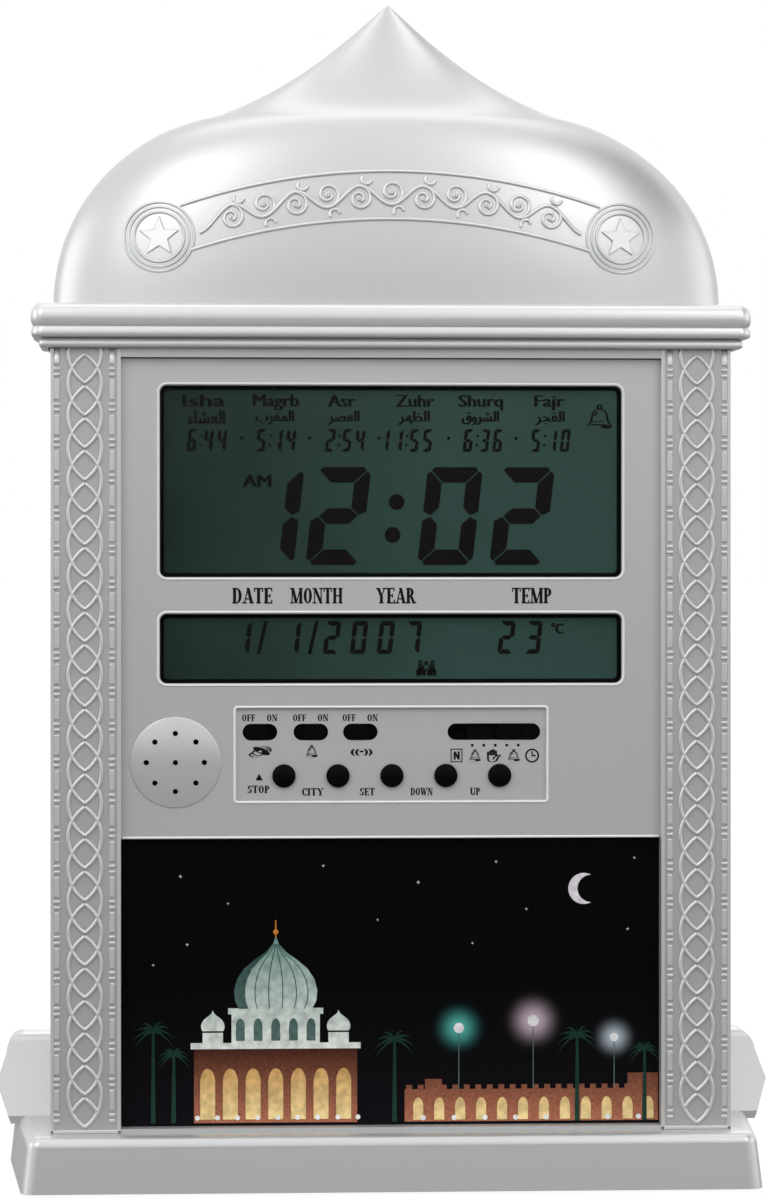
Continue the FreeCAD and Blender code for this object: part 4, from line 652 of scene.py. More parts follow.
# nickel-plated spring steel: warm grey, smooth
nickel = surface("nickel_plated_steel", "#bdb8ae", 0.25, metallic=1.0, grain=0.3, tint=0.04)
dress(nickel, "battery_springs", "contact_plates")
# soft PVC insulation: red-brown twin lead, slightly glossy
lead_pvc = surface("red_pvc_lead", "#7c2620", 0.4, grain=0.4, tint=0.06)
dress(lead_pvc, "battery_leads", "speaker_leads")

# a zinc can in a shrunk green sleeve with a pale ring, bare at its two ends
CELL_SLEEVE = 23.2 * MM
CELL_RING = 14 * MM
cell_paint, tree = new_material("sleeved_battery_can")
place = add(tree, "TexCoord").outputs["Object"]
along = add(tree, "SeparateXYZ", {0: place}).outputs["X"]
reach = add(tree, "Math", {0: along}, operation="ABSOLUTE")
bare = add(tree, "Math", {0: reach.outputs[0], 1: CELL_SLEEVE}, operation="GREATER_THAN")
ring = add(tree, "Math", {0: along, 1: CELL_RING}, operation="GREATER_THAN")
sleeve = add(tree, "Mix", {0: ring.outputs[0], 6: linear("#27493b"), 7: linear("#c9ccc4")},
             data_type="RGBA")
colour = add(tree, "Mix", {0: bare.outputs[0], 6: sleeve.outputs[2], 7: linear("#b9b7b2")},
             data_type="RGBA")
shader = add(tree, "BsdfPrincipled", {"Base Color": colour.outputs[2], "Metallic": bare.outputs[0],
                                      "Roughness": 0.3})
add(tree, "OutputMaterial", {"Surface": shader.outputs["BSDF"]})
dress(cell_paint, "battery_cell_lower", "battery_cell_middle", "battery_cell_upper")

# ---------------------------------------------------------------- speaker and circuit boards
# Behind the panel sit a small loudspeaker, a main board with the clock chip and a switch board.
# A ribbon joins the boards, and striped rubber strips carry the signals to the displays.
ferrite = surface("ferrite", "#2b2a2b", 0.55, grain=0.4, tint=0.1, bump=0.2)
paper_cone = surface("coated_paper_cone", "#1b1a1a", 0.6, grain=0.6, tint=0.15, bump=0.4)
epoxy = surface("moulded_black_epoxy", "#202022", 0.5, grain=0.2, tint=0.08, bump=0.15)
dress(nickel, "speaker_frame", "slide_switches")
dress(ferrite, "speaker_magnet")
dress(paper_cone, "speaker_cone")
dress(epoxy, "board_components", "tact_switches", "temperature_sensor")
dress(screw_steel, "board_screws")
dress(rubber, "connector_strips")

# glass-epoxy board under green solder mask, with the copper tracks showing as paler lines
TRACK_PITCH = 2.54 * MM
TRACK_WIDTH = 0.35 * MM
board_paint, tree = new_material("green_solder_mask")
place = add(tree, "TexCoord").outputs["Object"]
turned = add(tree, "Mapping", {"Vector": place, "Rotation": (math.pi / 2, 0, 0)})
tracks = add(tree, "TexBrick", {
    "Vector": turned.outputs[0], "Color1": linear("#1d5a36"), "Color2": linear("#1a4f31"),
    "Mortar": linear("#3a8355"), "Scale": 1.0, "Mortar Size": TRACK_WIDTH,
    "Brick Width": 4 * TRACK_PITCH, "Row Height": TRACK_PITCH})
shader = add(tree, "BsdfPrincipled", {"Base Color": tracks.outputs["Color"], "Roughness": 0.35})
add(tree, "OutputMaterial", {"Surface": shader.outputs["BSDF"]})
dress(board_paint, "main_board", "switch_board")

# grey ribbon of parallel cores, one edge marked red
CORE_PITCH = 1.27 * MM
RED_EDGE = -8.6 * MM
ribbon_paint, tree = new_material("ribbon_pvc")
place = add(tree, "TexCoord").outputs["Object"]
cores = add(tree, "TexWave", {"Vector": place, "Scale": 1 / CORE_PITCH / 2}, bands_direction="X")
tone = add(tree, "Mix", {0: cores.outputs["Fac"], 6: linear("#76777a"), 7: linear("#a5a6a9")},
           data_type="RGBA")
side = add(tree, "SeparateXYZ", {0: place}).outputs["X"]
mark = add(tree, "Math", {0: side, 1: RED_EDGE}, operation="LESS_THAN")
tone = add(tree, "Mix", {0: mark.outputs[0], 6: tone.outputs[2], 7: linear("#9c2f28")},
           data_type="RGBA")
shader = add(tree, "BsdfPrincipled", {"Base Color": tone.outputs[2], "Roughness": 0.45})
add(tree, "OutputMaterial", {"Surface": shader.outputs["BSDF"]})
dress(ribbon_paint, "ribbon_cable")

# ---------------------------------------------------------------- front panel
# The panel is one silver moulding behind the pillars, with a crowned boss pierced over the speaker,
# a shallow tray for the controls and a raised pale line round each window and the tray.
PANEL_FRONT = -29.0 * MM
PANEL_EDGE = 0.35 * MM
WINDOW_HALF = 68.0 * MM
TIME_Z = (180.0 * MM, 236.2 * MM)
DATE_Z = (148.8 * MM, 169.1 * MM)
TRAY_HALF = 45.6 * MM
TRAY_Z = (114.3 * MM, 141.3 * MM)
only(nodes["front_panel"])
bpy.ops.object.duplicate()
panel = bpy.context.object
bpy.ops.object.parent_clear(type="CLEAR_KEEP_TRANSFORM")
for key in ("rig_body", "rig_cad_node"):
    del panel[key]
bpy.ops.mesh.customdata_custom_splitnormals_clear()
# its triangles are merged, and the sharp edges of its front are rounded off
editing()
bpy.ops.mesh.remove_doubles(threshold=MERGE)
bpy.ops.mesh.dissolve_limited(angle_limit=math.radians(0.5))
bpy.ops.mesh.select_mode(type="EDGE")
bpy.ops.mesh.select_all(action="DESELECT")
bpy.ops.mesh.edges_select_sharp(sharpness=math.radians(40))
bpy.ops.object.mode_set(mode="OBJECT")
for edge in panel.data.edges:
    edge.select = edge.select and all(abs(panel.data.vertices[i].co.y - PANEL_FRONT) < 0.01 * MM
                                      for i in edge.vertices)
bpy.ops.object.mode_set(mode="EDIT")
bpy.ops.mesh.bevel(offset=PANEL_EDGE, segments=3, affect="EDGES")
edited()
fit(shaded(), "panel", silver, stands_for=("front_panel",))

# the boss over the speaker is a low crowned disc with a soft edge, pierced by nine round holes
BOSS_X, BOSS_Z = -63.5 * MM, 125.6 * MM
BOSS_RADIUS = 13.4 * MM
BOSS_EDGE = 0.35 * MM
BOSS_CROWN = 1.3 * MM
BOSS_BACK = 0.2 * MM
BOSS_STEPS = 12
HOLE_RADIUS = 0.85 * MM
HOLE_RING = 8.5 * MM
HOLE_DEPTH = 6.0 * MM
level = BOSS_RADIUS - BOSS_EDGE
ball = (level ** 2 + BOSS_CROWN ** 2) / (2 * BOSS_CROWN)
half = [(reach, BOSS_EDGE + BOSS_CROWN - ball + math.sqrt(ball ** 2 - reach ** 2))
        for reach in [level * i / BOSS_STEPS for i in range(BOSS_STEPS + 1)]]
half += [(level + BOSS_EDGE * math.sin(t), BOSS_EDGE * math.cos(t))
         for t in (math.pi / 6, math.pi / 3, math.pi / 2)]
half += [(BOSS_RADIUS, -BOSS_BACK), (0.0, -BOSS_BACK)]
boss = ring_of([(BOSS_X + reach, PANEL_FRONT - rise, BOSS_Z) for reach, rise in half])
editing()
swept(72, 2 * math.pi, (BOSS_X, 0, BOSS_Z), (0, 1, 0), 5 * MERGE)
edited(outward=True)
drills = []
for i in range(9):
    turn, reach = math.radians(45 * i), HOLE_RING if i < 8 else 0.0
    deselect()
    bpy.ops.mesh.primitive_cylinder_add(
        vertices=24, radius=HOLE_RADIUS, depth=HOLE_DEPTH, rotation=(math.pi / 2, 0, 0),
        location=(BOSS_X + reach * math.cos(turn), PANEL_FRONT, BOSS_Z + reach * math.sin(turn)))
    drills.append(bpy.context.object)
drill = joined(drills)
only(boss)
modified("BOOLEAN", operation="DIFFERENCE", object=drill)
removed(drill)
only(boss)
fit(shaded(), "speaker_boss", silver)


def round_box(half, low, high, radius):
    """Points of a rectangle with rounded corners."""
    corners = ((half - radius, high - radius, 90), (half - radius, low + radius, 0),
               (radius - half, low + radius, -90), (radius - half, high - radius, 180))
    return [point for x, z, start in corners for point in arc(x, z, radius, start, start - 90, 5)]


# near-white paint for the raised lines; along the panel's lower edge it is a painted highlight
pale_line_and_edge_highlight = surface("pale_silver_line_and_painted_edge_highlight", "#fafafa", 0.3, tint=0.02)
OUTLINE = (0.75 * MM, 0.3 * MM)
WINDOW_GAP, WINDOW_CORNER = 0.6 * MM, 2.6 * MM
TRAY_GAP, TRAY_CORNER = 0.5 * MM, 0.9 * MM
LEDGE_HALF, LEDGE_Z = 79.0 * MM, 103.5 * MM
outlines = [raised_line(round_box(half + gap, low - gap, high + gap, corner), *OUTLINE, y=PANEL_FRONT,
                        closed=True)
            for half, (low, high), gap, corner in ((WINDOW_HALF, TIME_Z, WINDOW_GAP, WINDOW_CORNER),
                                                   (WINDOW_HALF, DATE_Z, WINDOW_GAP, WINDOW_CORNER),
                                                   (TRAY_HALF, TRAY_Z, TRAY_GAP, TRAY_CORNER))]
# the panel's lower edge carries a pale line over the picture: a painted highlight of the edge
outlines.append(raised_line([(-LEDGE_HALF, LEDGE_Z), (LEDGE_HALF, LEDGE_Z)], *OUTLINE, y=PANEL_FRONT))
fit(joined(outlines), "panel_outlines", pale_line_and_edge_highlight)

# ---------------------------------------------------------------- printed labels
# The words on the panel are pad-printed in black ink, in a narrow bold face with serifs.
INK_THICK = 0.03 * MM
LAYER_STEP = 0.003 * MM
LAYERS = 8
ink = surface("pad_printing_ink", "#08080a", 0.5, grain=0.25, tint=0.15, bump=0.1, specular=0.15)
STEM, THIN, SERIF, LETTER_GAP = 0.22, 0.09, 0.1, 0.06
BOWL_STEPS = 10
# each letter: its width, then its strokes in parts of the letter's height: S a stem with serifs,
# T a thin stroke, K a thick stroke, F a serif at the foot, P a serif at the top, B a bowl
LETTERS = {
    "A": (0.72, "T.1,0,.36,1 K.62,0,.36,1 T.2,.3,.55,.3 F.1 F.62"),
    "C": (0.6, "B.36,.5,.32,.5,40,320 T.58,.66,.58,.97 T.58,.03,.58,.2"),
    "D": (0.68, "S.16 B.3,.5,.36,.5,-90,90 T.16,.963,.32,.963 T.16,.037,.32,.037"),
    "E": (0.6, "S.16 T.16,.963,.55,.963 T.16,.5,.42,.5 T.16,.037,.56,.037 T.54,.78,.54,1 T.55,0,.55,.24 "
               "T.42,.38,.42,.62"),
    "F": (0.56, "S.16 T.16,.963,.54,.963 T.16,.5,.42,.5 T.53,.76,.53,1 T.42,.38,.42,.62"),
    "H": (0.76, "S.16 S.6 T.16,.5,.6,.5"),
    "I": (0.32, "S.16"),
    "M": (0.92, "T.12,0,.12,1 K.16,1,.44,.02 T.44,.02,.76,1 S.78 F.12 P.1"),
    "N": (0.74, "T.12,0,.12,1 K.14,1,.62,0 T.62,0,.62,1 F.12 P.62 P.1"),
    "O": (0.68, "B.34,.5,.32,.5,0,360"),
    "P": (0.62, "S.16 B.26,.72,.32,.28,-90,90 T.16,.963,.28,.963 T.16,.478,.28,.478"),
    "R": (0.7, "S.16 B.26,.72,.3,.28,-90,90 T.16,.963,.28,.963 T.16,.478,.28,.478 K.36,.48,.58,.02 F.6"),
    "S": (0.54, "B.27,.74,.24,.26,30,260 B.27,.27,.25,.27,-150,80 T.49,.72,.49,.97 T.05,.03,.05,.28"),
    "T": (0.64, "S.32 T.03,.963,.61,.963 T.04,.74,.04,1 T.6,.74,.6,1"),
    "U": (0.72, "K.16,.3,.16,1 T.6,.3,.6,1 B.37,.32,.3,.32,180,360 P.16 P.6"),
    "W": (1.0, "K.1,1,.32,0 T.32,0,.5,.9 K.46,1,.68,0 T.68,0,.9,1 P.1 P.46 P.9"),
    "Y": (0.7, "K.12,1,.36,.45 T.36,.45,.6,1 K.36,0,.36,.5 F.36 P.12 P.6"),
}


def flat_shapes(shapes):
    """One mesh of flat faces facing the front; where two overlap, one lies a hair before the other."""
    deselect()
    bpy.ops.mesh.primitive_circle_add(vertices=len(shapes[0]), radius=1.0, fill_type="NGON")
    piece = bpy.context.object
    bpy.ops.object.mode_set(mode="EDIT")
    for shape in shapes[1:]:
        bpy.ops.mesh.primitive_circle_add(vertices=len(shape), radius=1.0, fill_type="NGON")
    bpy.ops.object.mode_set(mode="OBJECT")
    corners = [(x, -LAYER_STEP * (i % LAYERS), z) for i, shape in enumerate(shapes) for x, z in shape]
    for vertex, corner in zip(piece.data.vertices, corners):
        vertex.co = corner
    return piece


def stroke(x0, z0, x1, z1, width):
    """Corners of a straight stroke; its ends are level, or upright on a level stroke."""
    w = width / 2
    if abs(x1 - x0) > abs(z1 - z0):
        return [(x0, z0 - w), (x1, z1 - w), (x1, z1 + w), (x0, z0 + w)]
    return [(x0 - w, z0), (x0 + w, z0), (x1 + w, z1), (x1 - w, z1)]


def letter(sign):
    """Outlines of one letter, in parts of its height."""
    shapes = []
    for mark in LETTERS[sign][1].split():
        kind, values = mark[0], [float(v) for v in mark[1:].split(",")]
        x, side = values[0], (STEM + SERIF) / 2
        if kind == "S":
            shapes.append(stroke(x, 0, x, 1, STEM))
        if kind in "SF":
            shapes.append(stroke(x - side, THIN / 2, x + side, THIN / 2, THIN))
        if kind in "SP":
            shapes.append(stroke(x - side, 1 - THIN / 2, x + side, 1 - THIN / 2, THIN))
        if kind in "TK":
            shapes.append(stroke(*values, THIN if kind == "T" else STEM))
        if kind == "B":
            x, z, wide, tall, start, end = values
            middle = (start + end) / 2
            for turns in ((start, middle), (middle, end)):
                inner = arc(x, z, wide - STEM, *turns, BOWL_STEPS, tall - THIN)
                shapes.append(arc(x, z, wide, *turns, BOWL_STEPS, tall) + inner[::-1])
    return shapes


def printed_word(text, low_x, high_x, low_z, high_z):
    """Outlines of a word that fills the box."""
    total = sum(LETTERS[sign][0] for sign in text) + LETTER_GAP * (len(text) - 1)
    wide, tall = (high_x - low_x) / total, high_z - low_z
    shapes, at = [], 0.0
    for sign in text:
        shapes += [[(low_x + (at + x) * wide, low_z + z * tall) for x, z in shape] for shape in letter(sign)]
        at += LETTERS[sign][0] + LETTER_GAP
    return shapes


def printed(shapes, name, y, material, thick=INK_THICK):
    """Flat outlines become one thin layer with its back at y."""
    piece = flat_shapes(shapes)
    piece.location.y = y - thick / 2
    modified("SOLIDIFY", thickness=thick, offset=0)
    editing()
    edited(outward=True)
    fit(piece, name, material)


def in_mm(*values):
    """Values in millimetres, turned into metres."""
    return [value * MM for value in values]


words = []
for text, low_x, high_x in (("DATE", -46.8, -35.0), ("MONTH", -29.7, -14.4), ("YEAR", -4.4, 7.1),
                            ("TEMP", 35.6, 47.4)):
    words += printed_word(text, *in_mm(low_x, high_x, 172.2, 176.8))
printed(words, "panel_words", PANEL_FRONT, ink)

# ---------------------------------------------------------------- displays
# Two reflective LCDs stand in one black holder behind clear acrylic windows. Their glass is a dark
# teal, and the lit segments are near black with fine gaps between them.
LCD_FRONT = -26.5 * MM
LCD_HALF = 71.0 * MM
black_abs = surface("moulded_black_abs", "#08080a", 0.45, grain=0.3, tint=0.1, bump=0.08, specular=0.04)
dress(black_abs, "lcd_holder")
# the glass is darker on the left, and slightly cloudy
lcd_glass, tree = new_material("reflective_lcd_glass")
place = add(tree, "TexCoord").outputs["Object"]
across = add(tree, "SeparateXYZ", {0: place}).outputs["X"]
cloud = add(tree, "TexNoise", {"Vector": place, "Scale": 1 / (30 * MM), "Detail": 1.0})
part = add(tree, "MapRange", {"Value": across, "From Min": -LCD_HALF, "From Max": 0.3 * LCD_HALF,
                                        "To Min": -0.2, "To Max": 0.75})
shift = add(tree, "Math", {0: cloud.outputs["Fac"], 1: 0.5, 2: part.outputs[0]},
            operation="MULTIPLY_ADD", use_clamp=True)
teal = add(tree, "Mix", {0: shift.outputs[0], 6: linear("#1a2b27"), 7: linear("#38544e")},
           data_type="RGBA")
shader = add(tree, "BsdfPrincipled", {"Base Color": teal.outputs[2], "Roughness": 0.35,
                                      "Specular IOR Level": 0.15})
add(tree, "OutputMaterial", {"Surface": shader.outputs["BSDF"]})
dress(lcd_glass, "time_lcd", "date_lcd")
# a black border is printed round the edge of each glass
MASK = (2.2 * MM, 0.04 * MM)
MASK_INSET = 0.1 * MM
MASK_CORNER = 2.2 * MM
masks = [raised_line(round_box(WINDOW_HALF - MASK_INSET, low + MASK_INSET, high - MASK_INSET, MASK_CORNER),
                     *MASK, y=LCD_FRONT, closed=True) for low, high in (TIME_Z, DATE_Z)]
fit(joined(masks), "lcd_borders", black_abs)

lit = surface("lcd_segment", "#0d090c", 0.5, grain=1.0, tint=0.05, bump=0.0, specular=0.1)
SLANT = math.tan(math.radians(6.4))
DIGITS = {"0": "abcdef", "1": "bc", "2": "abged", "3": "abgcd", "4": "fgbc", "5": "afgcd", "6": "afgedc",
          "7": "abc"}
SEGMENT_GAP, SEGMENT_CUT, SEGMENT_TIP = 0.05, 0.45, 0.3
SEGMENT_THICK = 0.05 * MM


def digit(sign, x, z, width, height, line):
    """Outlines of a seven-segment digit, leaning right."""
    gap, cut, waist = SEGMENT_GAP * line, SEGMENT_CUT * line, height / 2
    bar = [(cut, height), (width - cut, height), (width - cut / 2 - gap, height - cut / 2),
           (width - line - gap, height - line), (line + gap, height - line),
           (cut / 2 + gap, height - cut / 2)]
    post = [(width, height - cut), (width, waist + SEGMENT_TIP * line), (width - line / 2, waist + gap),
            (width - line, waist + line / 2 + gap), (width - line, height - line - gap),
            (width - cut / 2, height - cut / 2 - gap)]
    middle = [(line / 2 + gap, waist), (line + gap, waist + line / 2), (width - line - gap, waist + line / 2),
              (width - line / 2 - gap, waist), (width - line - gap, waist - line / 2),
              (line + gap, waist - line / 2)]
    parts = {"a": bar, "d": [(px, height - pz) for px, pz in bar], "g": middle, "b": post,
             "c": [(px, height - pz) for px, pz in post], "f": [(width - px, pz) for px, pz in post],
             "e": [(width - px, height - pz) for px, pz in post]}
    return [[(x + px + pz * SLANT, z + pz) for px, pz in parts[key]] for key in DIGITS[sign]]


def disc(x, z, radius, sides=20):
    """A round dot with that many sides."""
    return arc(x, z, radius, 0, 360 - 360 / sides, sides - 1)


def shape_in_mm(corners, x=0.0, z=0.0):
    """A flat outline from corners in millimetres, moved to a place."""
    return [((x + px) * MM, (z + pz) * MM) for px, pz in corners]


# foot, width, height, line and pitch of each kind of digit, in millimetres
TIME_DIGIT = (183.5, 16.3, 28.9, 4.6)
SMALL_DIGIT, SMALL_PITCH, COLON_PITCH = (216.9, 2.7, 6.7, 1.0), 3.9, 0.95
DATE_DIGIT, DATE_PITCH = (157.3, 4.5, 9.7, 1.35), 8.0
lit_shapes = []
# the time: four large digits and a colon
for sign, x in (("1", -45.0), ("2", -25.3), ("0", 7.7), ("2", 29.0)):
    lit_shapes += digit(sign, *in_mm(x, *TIME_DIGIT))
lit_shapes += [disc(*in_mm(1.64, 202.1, 2.35)), disc(*in_mm(0.46, 192.4, 2.35))]
# six small times in a row above, and a dot between each two
for text, x in (("6:44", -60.3), ("5:14", -40.0), ("2:54", -19.6), ("11:55", -3.6), ("6:36", 21.1),
                ("5:10", 41.1)):
    for sign in text:
        if sign == ":":
            lit_shapes += [disc(*in_mm(x + 0.35, 218.9, 0.42), sides=8),
                           disc(*in_mm(x + 0.6, 221.6, 0.42), sides=8)]
            x += COLON_PITCH
        else:
            lit_shapes += digit(sign, *in_mm(x, *SMALL_DIGIT))
            x += SMALL_PITCH
lit_shapes += [disc(*in_mm(x, 220.9, 0.55), sides=8) for x in (-44.0, -24.0, -3.6, 17.0, 37.0)]
# the date, with two slashes, the year and the temperature
for text, x in (("1", -46.4), ("1", -31.9), ("20", -20.2), ("07", -4.3), ("23", 31.4)):
    for sign in text:
        lit_shapes += digit(sign, *in_mm(x, *DATE_DIGIT))
        x += DATE_PITCH
lit_shapes += [shape_in_mm(((0, 157.3), (1.1, 157.3), (3.3, 167.0), (2.2, 167.0)), x)
               for x in (-39.6, -24.6)]
printed(lit_shapes, "lcd_segments", LCD_FRONT, lit, SEGMENT_THICK)


def word(text, low_x, high_x, low_z, high_z, y, bold):
    """A word in the plain built-in face that fills the box, as a thin layer in front of y.

    A second and third copy, moved by bold to either side, thicken its strokes.
    """
    deselect()
    bpy.ops.object.text_add()
    piece = bpy.context.object
    piece.data.body = text
    piece.data.resolution_u = 3
    piece.data.extrude = 0.1
    bpy.ops.object.convert(target="MESH")
    piece = bpy.context.object
    spots = [vertex.co.copy() for vertex in piece.data.vertices]
    left, right = min(s.x for s in spots), max(s.x for s in spots)
    foot, head = min(s.y for s in spots), max(s.y for s in spots)
    low_x, high_x = low_x + bold, high_x - bold
    for vertex, spot in zip(piece.data.vertices, spots):
        vertex.co = ((low_x + (high_x - low_x) * (spot.x - left) / (right - left)) * MM,
                     y - (INK_THICK if spot.z > 0 else 0.0),
                     (low_z + (high_z - low_z) * (spot.y - foot) / (head - foot)) * MM)
    return joined([piece, copied(piece, (bold * MM, -LAYER_STEP, 0)),
                   copied(piece, (-bold * MM, -2 * LAYER_STEP, 0))])


LATIN_BOLD, ARABIC_BOLD, SIGN_BOLD = 0.24, 0.22, 0.2
BELL, MOSQUE, LOUDSPEAKER, HAND = "\U0001F514", "\U0001F54C", "\U0001F50A", "✋"
lcd_words = [word(*row, LCD_FRONT, LATIN_BOLD) for row in (
    ("Isha", -61.5, -48.8, 230.1, 233.7), ("Magrb", -40.8, -27.0, 229.1, 233.7),
    ("Asr", -18.7, -10.4, 230.1, 233.7), ("Zuhr", 1.3, 12.9, 230.1, 233.7),
    ("Shurq", 19.9, 33.2, 229.1, 233.7), ("Fajr", 42.3, 51.5, 229.1, 233.7),
    ("AM", -43.8, -35.2, 206.5, 210.1), ("°C", 47.3, 51.1, 163.2, 166.4))]
# the same six names in Arabic, in the letters' joined forms from left to right
lcd_words += [word(text, low_x, high_x, 224.8, 229.0, LCD_FRONT, ARABIC_BOLD) for text, low_x, high_x in (
    ("ﺀﺎﺸﻌﻟﺍ", -60.0, -48.8), ("ﺏﺮﻐﻤﻟﺍ", -40.0, -28.5),
    ("ﺮﺼﻌﻟﺍ", -18.7, -9.2), ("ﺮﻬﻈﻟﺍ", 2.0, 11.6),
    ("ﻕﻭﺮﺸﻟﺍ", 20.8, 32.0), ("ﺮﺠﻔﻟﺍ", 42.6, 51.5))]
lcd_words += [word(*row, LCD_FRONT, SIGN_BOLD) for row in (
    (BELL, 58.0, 65.5, 223.6, 231.0), (MOSQUE, 7.5, 13.4, 150.8, 155.5))]
fit(joined(lcd_words), "lcd_words", lit)

# clear cast acrylic: it shows only as a faint sheen over the glass
acrylic, tree = new_material("clear_acrylic")
shader = add(tree, "BsdfPrincipled", {"Base Color": linear("#1a2221"), "Roughness": 0.1, "Alpha": 0.04,
                                      "IOR": 1.49})
add(tree, "OutputMaterial", {"Surface": shader.outputs["BSDF"]})
WINDOW_BACK = -26.6 * MM
WINDOW_FRONT = -27.7 * MM
WINDOW_LAP = 1.4 * MM
WINDOW_EDGE = 0.25 * MM
for kind, (low, high) in (("time", TIME_Z), ("date", DATE_Z)):
    block((-WINDOW_HALF - WINDOW_LAP, WINDOW_FRONT, low - WINDOW_LAP),
          (WINDOW_HALF + WINDOW_LAP, WINDOW_BACK, high + WINDOW_LAP))
    fit(rounded(WINDOW_EDGE, 2), kind + "_pane", acrylic, (kind + "_window",))

# ---------------------------------------------------------------- controls
# Five domed push buttons and four slide switches stand in the tray. All are moulded black ABS, and
# the words and signs beside them are printed in the same black ink.
TRAY_FLOOR = -28.0 * MM
dress(black_abs, *["push_button_" + name for name in ("stop", "city", "set", "down", "up")])
dress(black_abs, "slider_left", "slider_middle", "slider_right", "mode_slider", "mode_switch")
SWITCH_WORDS_Z = (137.6, 139.6)
BUTTON_WORD_HALF = 1.1
words = []
for x in (-38.65, -23.7, -9.1):
    words += printed_word("OFF", *in_mm(x - 5.3, x - 1.4, *SWITCH_WORDS_Z))
    words += printed_word("ON", *in_mm(x + 2.0, x + 5.1, *SWITCH_WORDS_Z))
for text, low_x, high_x, z in (("STOP", -42.3, -35.8, 117.6), ("CITY", -26.4, -20.0, 116.8),
                               ("SET", -9.3, -4.9, 116.8), ("DOWN", 5.7, 12.2, 116.8),
                               ("UP", 23.3, 26.3, 116.8)):
    words += printed_word(text, *in_mm(low_x, high_x, z - BUTTON_WORD_HALF, z + BUTTON_WORD_HALF))
words.append(shape_in_mm(((-40.0, 120.2), (-37.8, 120.2), (-38.9, 122.2))))
words += [disc(*in_mm(x, 130.4, 0.45), sides=10) for x in (23.9, 27.3, 30.7, 34.1, 37.5)]
printed(words, "tray_words", TRAY_FLOOR, ink)
signs = [word(*row, TRAY_FLOOR, SIGN_BOLD) for row in (
    (LOUDSPEAKER, -42.0, -35.2, 126.9, 130.3), (BELL, -25.2, -21.7, 126.9, 130.6),
    ("((•))", -12.0, -5.5, 127.4, 129.4), (BELL, 23.0, 26.4, 125.6, 129.2),
    (HAND, 28.2, 32.4, 125.4, 129.2), (BELL, 34.3, 38.0, 125.6, 129.2), ("N", 18.4, 20.2, 126.2, 128.6))]


def box(low_x, low_z, high_x, high_z):
    """A level rectangle between two corners, in millimetres."""
    return shape_in_mm(((low_x, low_z), (high_x, low_z), (high_x, high_z), (low_x, high_z)))


# a square frame, then a clock face: a ring in two halves, and two hands
lines = [box(17.5, 125.4, 21.0, 125.7), box(17.5, 129.1, 21.0, 129.4), box(17.5, 125.4, 17.8, 129.4),
         box(20.7, 125.4, 21.0, 129.4)]
CLOCK_X, CLOCK_Z = 41.6, 127.3
for start in (90, 270):
    lines.append(arc(*in_mm(CLOCK_X, CLOCK_Z, 2.1), start, start - 180, 12)
                 + arc(*in_mm(CLOCK_X, CLOCK_Z, 1.6), start - 180, start, 12))
lines += [stroke(*in_mm(CLOCK_X, 127.1, CLOCK_X, 128.6, 0.4)),
          stroke(*in_mm(41.4, CLOCK_Z, 42.7, CLOCK_Z, 0.4))]
printed(lines, "box_sign", TRAY_FLOOR, ink)
fit(joined(signs), "tray_signs", ink)

# ---------------------------------------------------------------- picture
# A glossy card with a printed night view fills the lower opening: a lit domed hall and its arcade on
# the left, a low wall with palms on the right, lamps and a crescent in a black sky.
CARD_FRONT = -27.0 * MM
PRINT_THICK = 0.02 * MM
PRINT_STEP = 0.03 * MM
GLOSS = {"Roughness": 0.4, "Specular IOR Level": 0.04}


def print_ink(name, low_colour, high_colour, low_z, high_z, mottle):
    """Printed colour that fades with height, as on a wall that is lit from its foot."""
    material, tree = new_material(name)
    place = add(tree, "TexCoord").outputs["Object"]
    up = add(tree, "SeparateXYZ", {0: place}).outputs["Z"]
    fade = add(tree, "MapRange", {"Value": up, "From Min": low_z * MM, "From Max": high_z * MM})
    colour = add(tree, "Mix", {0: fade.outputs[0], 6: linear(low_colour), 7: linear(high_colour)},
                 data_type="RGBA")
    spots = add(tree, "TexNoise", {"Vector": place, "Scale": 1 / (mottle * MM), "Detail": 3.0})
    shade = add(tree, "MapRange", {"Value": spots.outputs["Fac"], "From Min": 0.3, "From Max": 0.7,
                                             "To Min": 0.72, "To Max": 1.15})
    tone = add(tree, "Mix", {0: 1.0, 6: colour.outputs[2], 7: shade.outputs[0]}, data_type="RGBA",
               blend_type="MULTIPLY")
    shader = add(tree, "BsdfPrincipled", {"Base Color": tone.outputs[2], **GLOSS})
    add(tree, "OutputMaterial", {"Surface": shader.outputs["BSDF"]})
    return material


# the card itself: black sky with a faint haze, and a halo round every lamp
HAZE_Z = (20 * MM, 62 * MM)
HALO_STRENGTH, HALO_FALL = 0.9, 2.2
